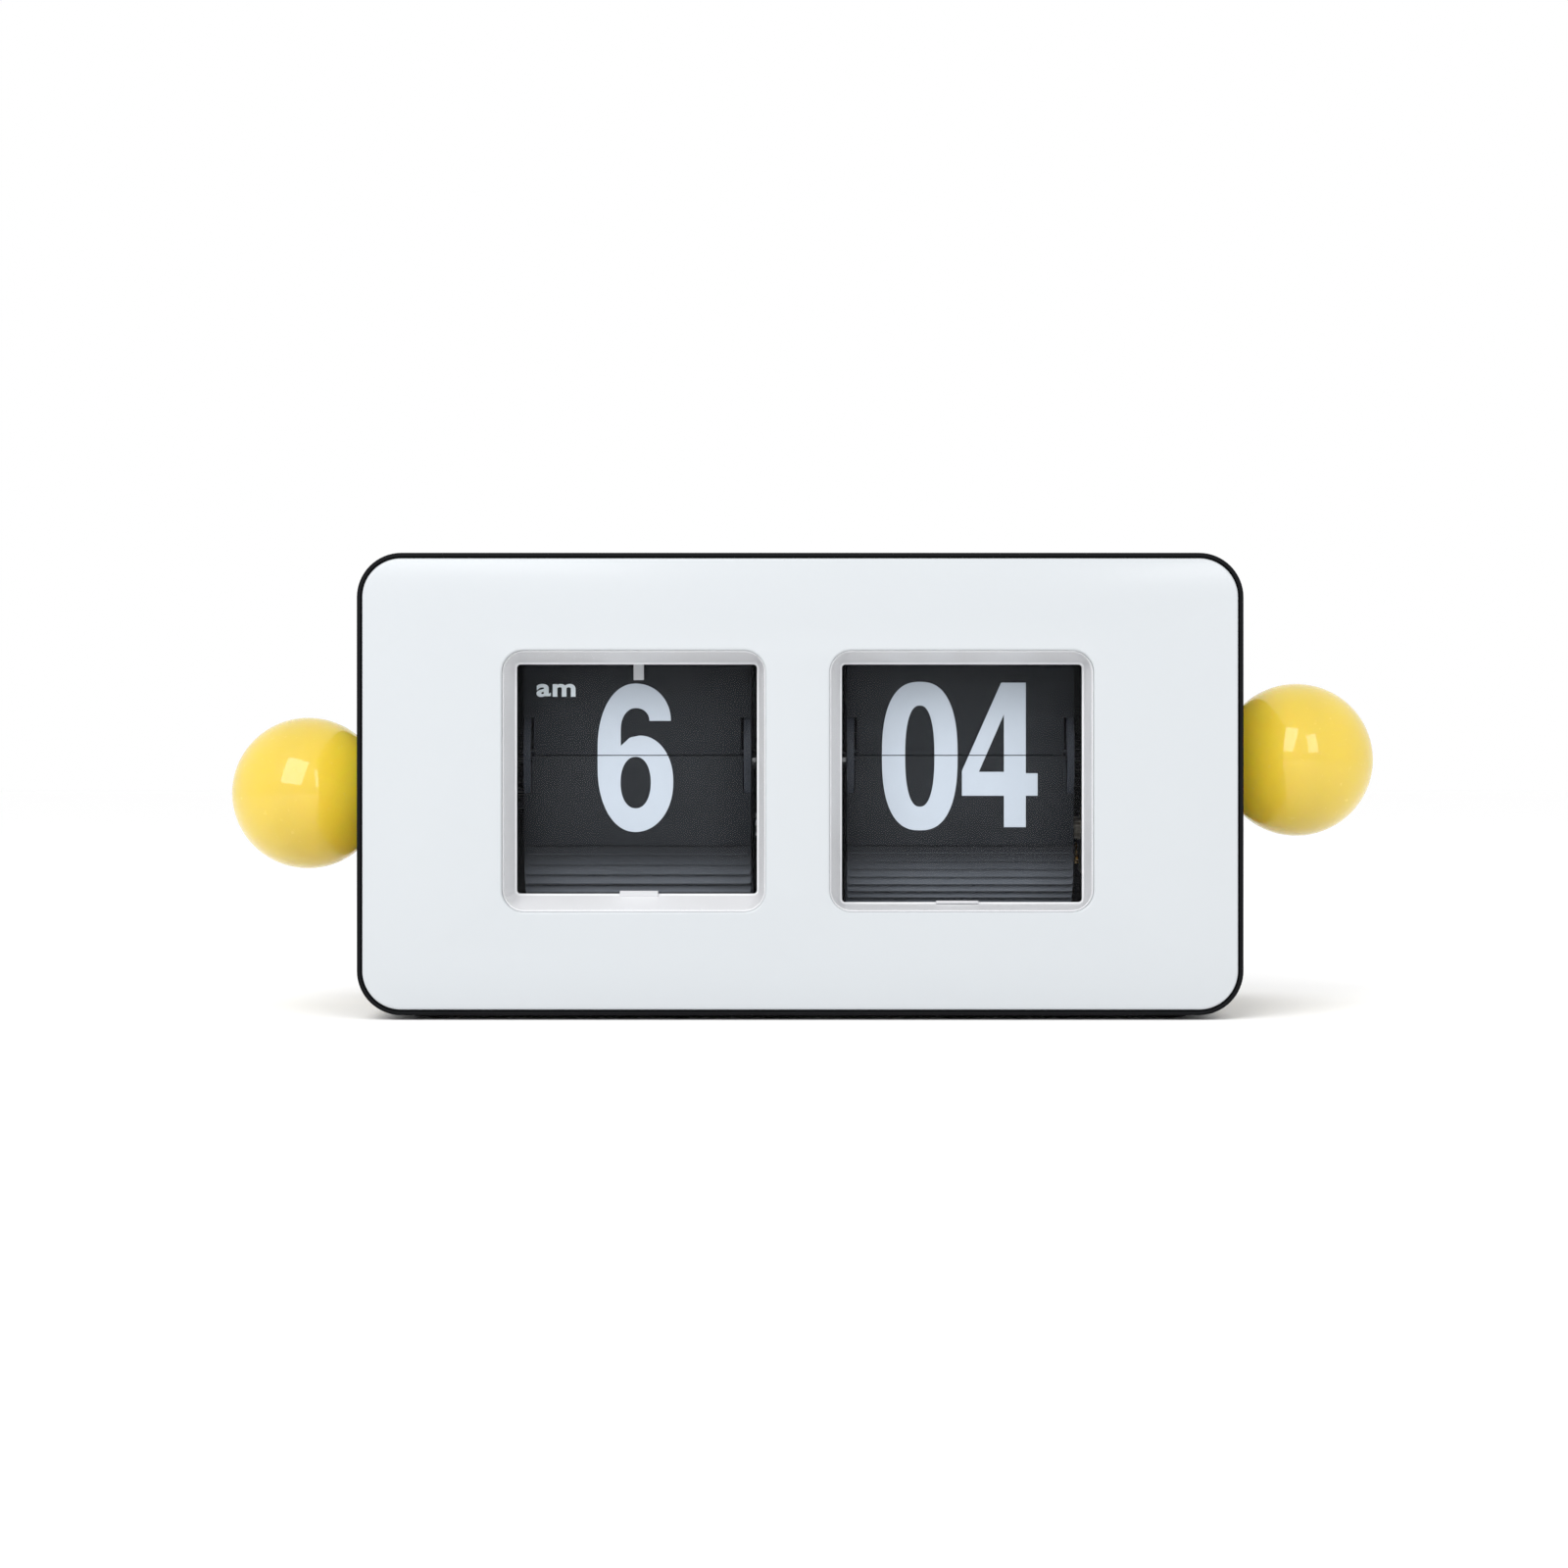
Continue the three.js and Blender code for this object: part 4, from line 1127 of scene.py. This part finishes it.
def buildCover():
    c = coverSizes
    low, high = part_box("rear_cover")
    doorLow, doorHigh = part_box("battery_door")
    bayWidth = 2 * (doorHigh[0] - doorSizes["pin"] + c["doorGap"])
    bayHeight = doorHigh[2] - doorLow[2] + 2 * c["doorGap"]
    bayMiddle = (doorLow[2] + doorHigh[2]) / 2

    def bayOutline(width, height, corner):
        return roundedOutline(width, height, corner, 0, bayMiddle, 2)

    outlines = [roundedOutline(high[0] - low[0], high[2] - low[2], c["corner"], 0, bodyZ, 12)]
    outlines.append(bayOutline(bayWidth, bayHeight, c["openingCorner"]))
    seats = []
    for number in range(1, 5):
        x, _, z = middle("cover_screw_%d" % number)
        outlines.append(circleOutline(c["screwHole"], x, z, 40))
        seats.append([circleOutline(c["seat"], x, z, 40), circleOutline(c["seatHole"], x, z, 20)])
    plate = standUp(sheetMesh(outlines, c["thick"], c["edge"], 3), high[1] - c["thick"] / 2)
    for seat in seats:
        addTo(plate, standUp(sheetMesh(seat, c["seatThick"]), high[1] - c["seatIn"]))
    inside = bayOutline(bayWidth, bayHeight, c["bayCorner"])
    drain = bayOutline(*c["drain"], c["bayCorner"])
    sides = c["baySides"]
    outside = bayOutline(bayWidth + sides[0], bayHeight + sides[1], c["bayOuterCorner"])
    mouth = high[1] - c["bayIn"]
    deep = low[1] + c["bayWall"]
    tray = [(inside, mouth), (inside, deep), (drain, deep)]
    tray += [(drain, low[1]), (outside, low[1]), (outside, mouth)]
    addTo(plate, ringBody(tray))
    settle("rear_cover_skin", plate, "caseBlack", "case", ["rear_cover"])


def buildDoor():
    d = doorSizes
    low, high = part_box("battery_door")
    _, axisY, axisZ = joints["battery_door_hinge"]["pos_m"]
    width = 2 * (high[0] - d["pin"])
    thick = (high[1] - low[1]) / 2
    panelTop = high[2] - axisZ
    bm = bmesh.new()
    slab = bmesh.ops.create_cube(bm, size=1)["verts"]
    bmesh.ops.scale(bm, vec=(width, 2 * thick, panelTop), verts=slab)
    bmesh.ops.translate(bm, vec=(0, axisY, axisZ + panelTop / 2), verts=slab)
    for radius, length in ((thick, width), (d["pinRadius"], 2 * high[0])):
        rod = bmesh.ops.create_cone(
            bm, cap_ends=True, segments=32, radius1=radius, radius2=radius, depth=length
        )["verts"]
        bmesh.ops.rotate(bm, verts=rod, matrix=Matrix.Rotation(math.pi / 2, 3, "Y"))
        bmesh.ops.translate(bm, verts=rod, vec=(0, axisY, axisZ))
    for i in range(d["ribs"]):
        rib = bmesh.ops.create_cube(bm, size=1)["verts"]
        bmesh.ops.scale(bm, vec=d["rib"], verts=rib)
        bmesh.ops.translate(bm, vec=(0, high[1], high[2] - d["firstRib"] - i * d["ribPitch"]), verts=rib)
    edge = (d["edge"], 2)
    settle("battery_door_skin", bm, "caseBlack", "door", ["battery_door"], 40, edge)


screwSizes = {
    "arm": 0.42 * mm,
    "reach": 1.5 * mm,
    "head": 2.6 * mm,
    "headThick": 0.9 * mm,
    "edge": 0.12 * mm,
    "under": 2.4 * mm,
    "underThick": 0.5 * mm,
    "underIn": 1.1 * mm,
    "shankIn": 1.2 * mm,
    "tip": 0.5 * mm,
    "shank": 0.9 * mm,
}


def buildScrew(node):
    s = screwSizes
    low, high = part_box(node)
    x, _, z = middle(node)
    arm, reach = s["arm"], s["reach"]
    cross = [
        (arm, arm), (reach, arm), (reach, -arm), (arm, -arm), (arm, -reach), (-arm, -reach),
        (-arm, -arm), (-reach, -arm), (-reach, arm), (-arm, arm), (-arm, reach), (arm, reach),
    ]
    outlines = [circleOutline(s["head"], x, z, 40), [(x + px, z + pz) for px, pz in cross]]
    head = standUp(sheetMesh(outlines, s["headThick"], s["edge"], 2), high[1] - s["headThick"] / 2)
    under = sheetMesh([circleOutline(s["under"], x, z, 40)], s["underThick"])
    addTo(head, standUp(under, high[1] - s["underIn"]))
    length = high[1] - s["shankIn"] - low[1]
    shank = bmesh.new()
    bmesh.ops.create_cone(
        shank, cap_ends=True, segments=20, radius1=s["tip"], radius2=s["shank"], depth=length
    )
    bmesh.ops.rotate(shank, verts=shank.verts, matrix=Matrix.Rotation(-math.pi / 2, 3, "X"))
    addTo(head, moved(shank, x, low[1] + length / 2, z))
    settle(node + "_skin", head, "steelTurned", "case", [node])


footSizes = {
    "sole": 4.6 * mm,
    "round": 0.25 * mm,
    "radius": 5 * mm,
    "top": 4.8 * mm,
    "thick": 0.8 * mm,
    "stem": 1.4 * mm,
    "height": 3.2 * mm,
}


def buildFoot(node):
    f = footSizes
    x, y, _ = middle(node)
    profile = [
        (0.0, 0.0),
        (0.0, f["sole"]),
        (f["round"], f["radius"]),
        (f["thick"], f["top"]),
        (f["thick"], f["stem"]),
        (f["height"], f["stem"]),
        (f["height"], 0.0),
    ]
    bm = turnedAboutX(profile, 40, False)
    bmesh.ops.rotate(bm, verts=bm.verts, cent=(0, 0, 0), matrix=Matrix.Rotation(-math.pi / 2, 3, "Y"))
    moved(bm, x, y, 0)
    settle(node + "_skin", bm, "rubberFoot", "case", [node])


cellSizes = {
    "nub": 1.2 * mm,
    "nubRadius": 2.7 * mm,
    "crimp": 1.1 * mm,
    "round": 0.5 * mm,
    "smallRound": 0.15 * mm,
    "dish": 0.35 * mm,
}


def buildCell(node, side):
    # a round cell with crimped ends, its positive nub towards side
    c = cellSizes
    low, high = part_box(node)
    r = (high[2] - low[2]) / 2
    end = high[0] - low[0] - c["nub"]
    small = c["smallRound"]
    metal = r - c["crimp"]
    profile = [(c["dish"], 0.0), (c["dish"], metal - c["dish"]), (0.0, metal), (0.0, r - c["round"])]
    profile += [(small, r - small), (c["round"], r), (end - c["round"], r), (end - small, r - small)]
    profile += [(end, r - c["round"]), (end, metal), (end - c["dish"], metal - c["dish"])]
    profile += [(end - c["dish"], c["nubRadius"]), (end + c["nub"] - small, c["nubRadius"])]
    profile += [(end + c["nub"], c["nubRadius"] - small), (end + c["nub"], 0.0)]
    bm = turnedAboutX(profile, 64, False)
    for face in bm.faces:
        at = face.calc_center_median()
        face.material_index = 1 if math.hypot(at.y, at.z) < metal else 0
    if side < 0:
        turnRound(bm)
    _, y, z = middle(node)
    moved(bm, low[0] if side > 0 else high[0], y, z)
    settle(node + "_skin", bm, "cellWrap nickelPlate", "case", [node], 35)


buildCell("battery_upper", 1)
buildCell("battery_lower", -1)
buildCover()
buildDoor()
for number in range(1, 5):
    buildScrew("cover_screw_%d" % number)
    buildFoot("foot_%d" % number)
print("rear cover, door, cells, screws and feet")

# CAD pieces that keep their shape
kept = {
    "steelSheet": "chassis_left_plate chassis_middle_plate chassis_right_plate chassis_base chassis_top_bar",
    "steelTurned": "minute_shaft hour_shaft transfer_arbor",
    "steelBlued": "set_arbor",
    "brassTurned": "minute_pinion motor_pinion right_bush left_bush",
    "gearBlack": "hour_set_wheel",
    "gearNatural": "drive_idler",
    "catchGrey": "hour_leaf_catch minute_leaf_catch",
    "motorCan": "drive_motor",
    "nickelPlate": "battery_spring_upper battery_spring_lower contact_upper contact_lower",
}
for finish, names in kept.items():
    for node in names.split():
        mesh = bpy.data.objects[node].data
        mesh.materials.clear()
        mesh.materials.append(finishes[finish])

# floor, light and air
floorMesh = bpy.data.meshes.new("floor")
bm = bmesh.new()
bmesh.ops.create_grid(bm, x_segments=1, y_segments=1, size=20)
bm.to_mesh(floorMesh)
bm.free()
floor = bpy.data.objects.new("floor", floorMesh)
bpy.context.scene.collection.objects.link(floor)
floorPaint = newMaterial("floor", lambda w, place: {"Roughness": 0.85 + 0.05 * noise(w, place, 4, 2)})
floorPaint.node_tree.nodes["Principled BSDF"].inputs["Base Color"].default_value = (0.995, 0.995, 0.995, 1)
floorMesh.materials.append(floorPaint)

world = bpy.data.worlds.new("air")
bpy.context.scene.world = world
world.use_nodes = True
air = world.node_tree.nodes["Background"]
air.inputs[0].default_value = (1, 1, 1, 1)
air.inputs[1].default_value = 1.0


def lookAt(thing, target):
    thing.rotation_euler = (Vector(target) - thing.location).to_track_quat("-Z", "Y").to_euler()


aim = (0, 0, 0.05)
lamps = {
    "left": {"turn": -21, "rise": 32, "away": 1.1, "size": (0.62, 0.75), "power": 7.6, "roll": -6},
    "right": {"turn": 22, "rise": 23, "away": 1.2, "size": (0.3, 0.55), "power": 2.4, "roll": 0},
}
for name, lamp in lamps.items():
    data = bpy.data.lights.new(name, "AREA")
    data.shape = "RECTANGLE"
    data.size, data.size_y = lamp["size"]
    data.energy = lamp["power"]
    light = bpy.data.objects.new(name, data)
    turn, rise = math.radians(lamp["turn"]), math.radians(lamp["rise"])
    away = lamp["away"]
    light.location = (
        away * math.sin(turn) * math.cos(rise),
        -away * math.cos(turn) * math.cos(rise),
        aim[2] + away * math.sin(rise),
    )
    lookAt(light, aim)
    light.rotation_euler.rotate_axis("Z", math.radians(lamp["roll"]))
    bpy.context.scene.collection.objects.link(light)

print("scene ready")
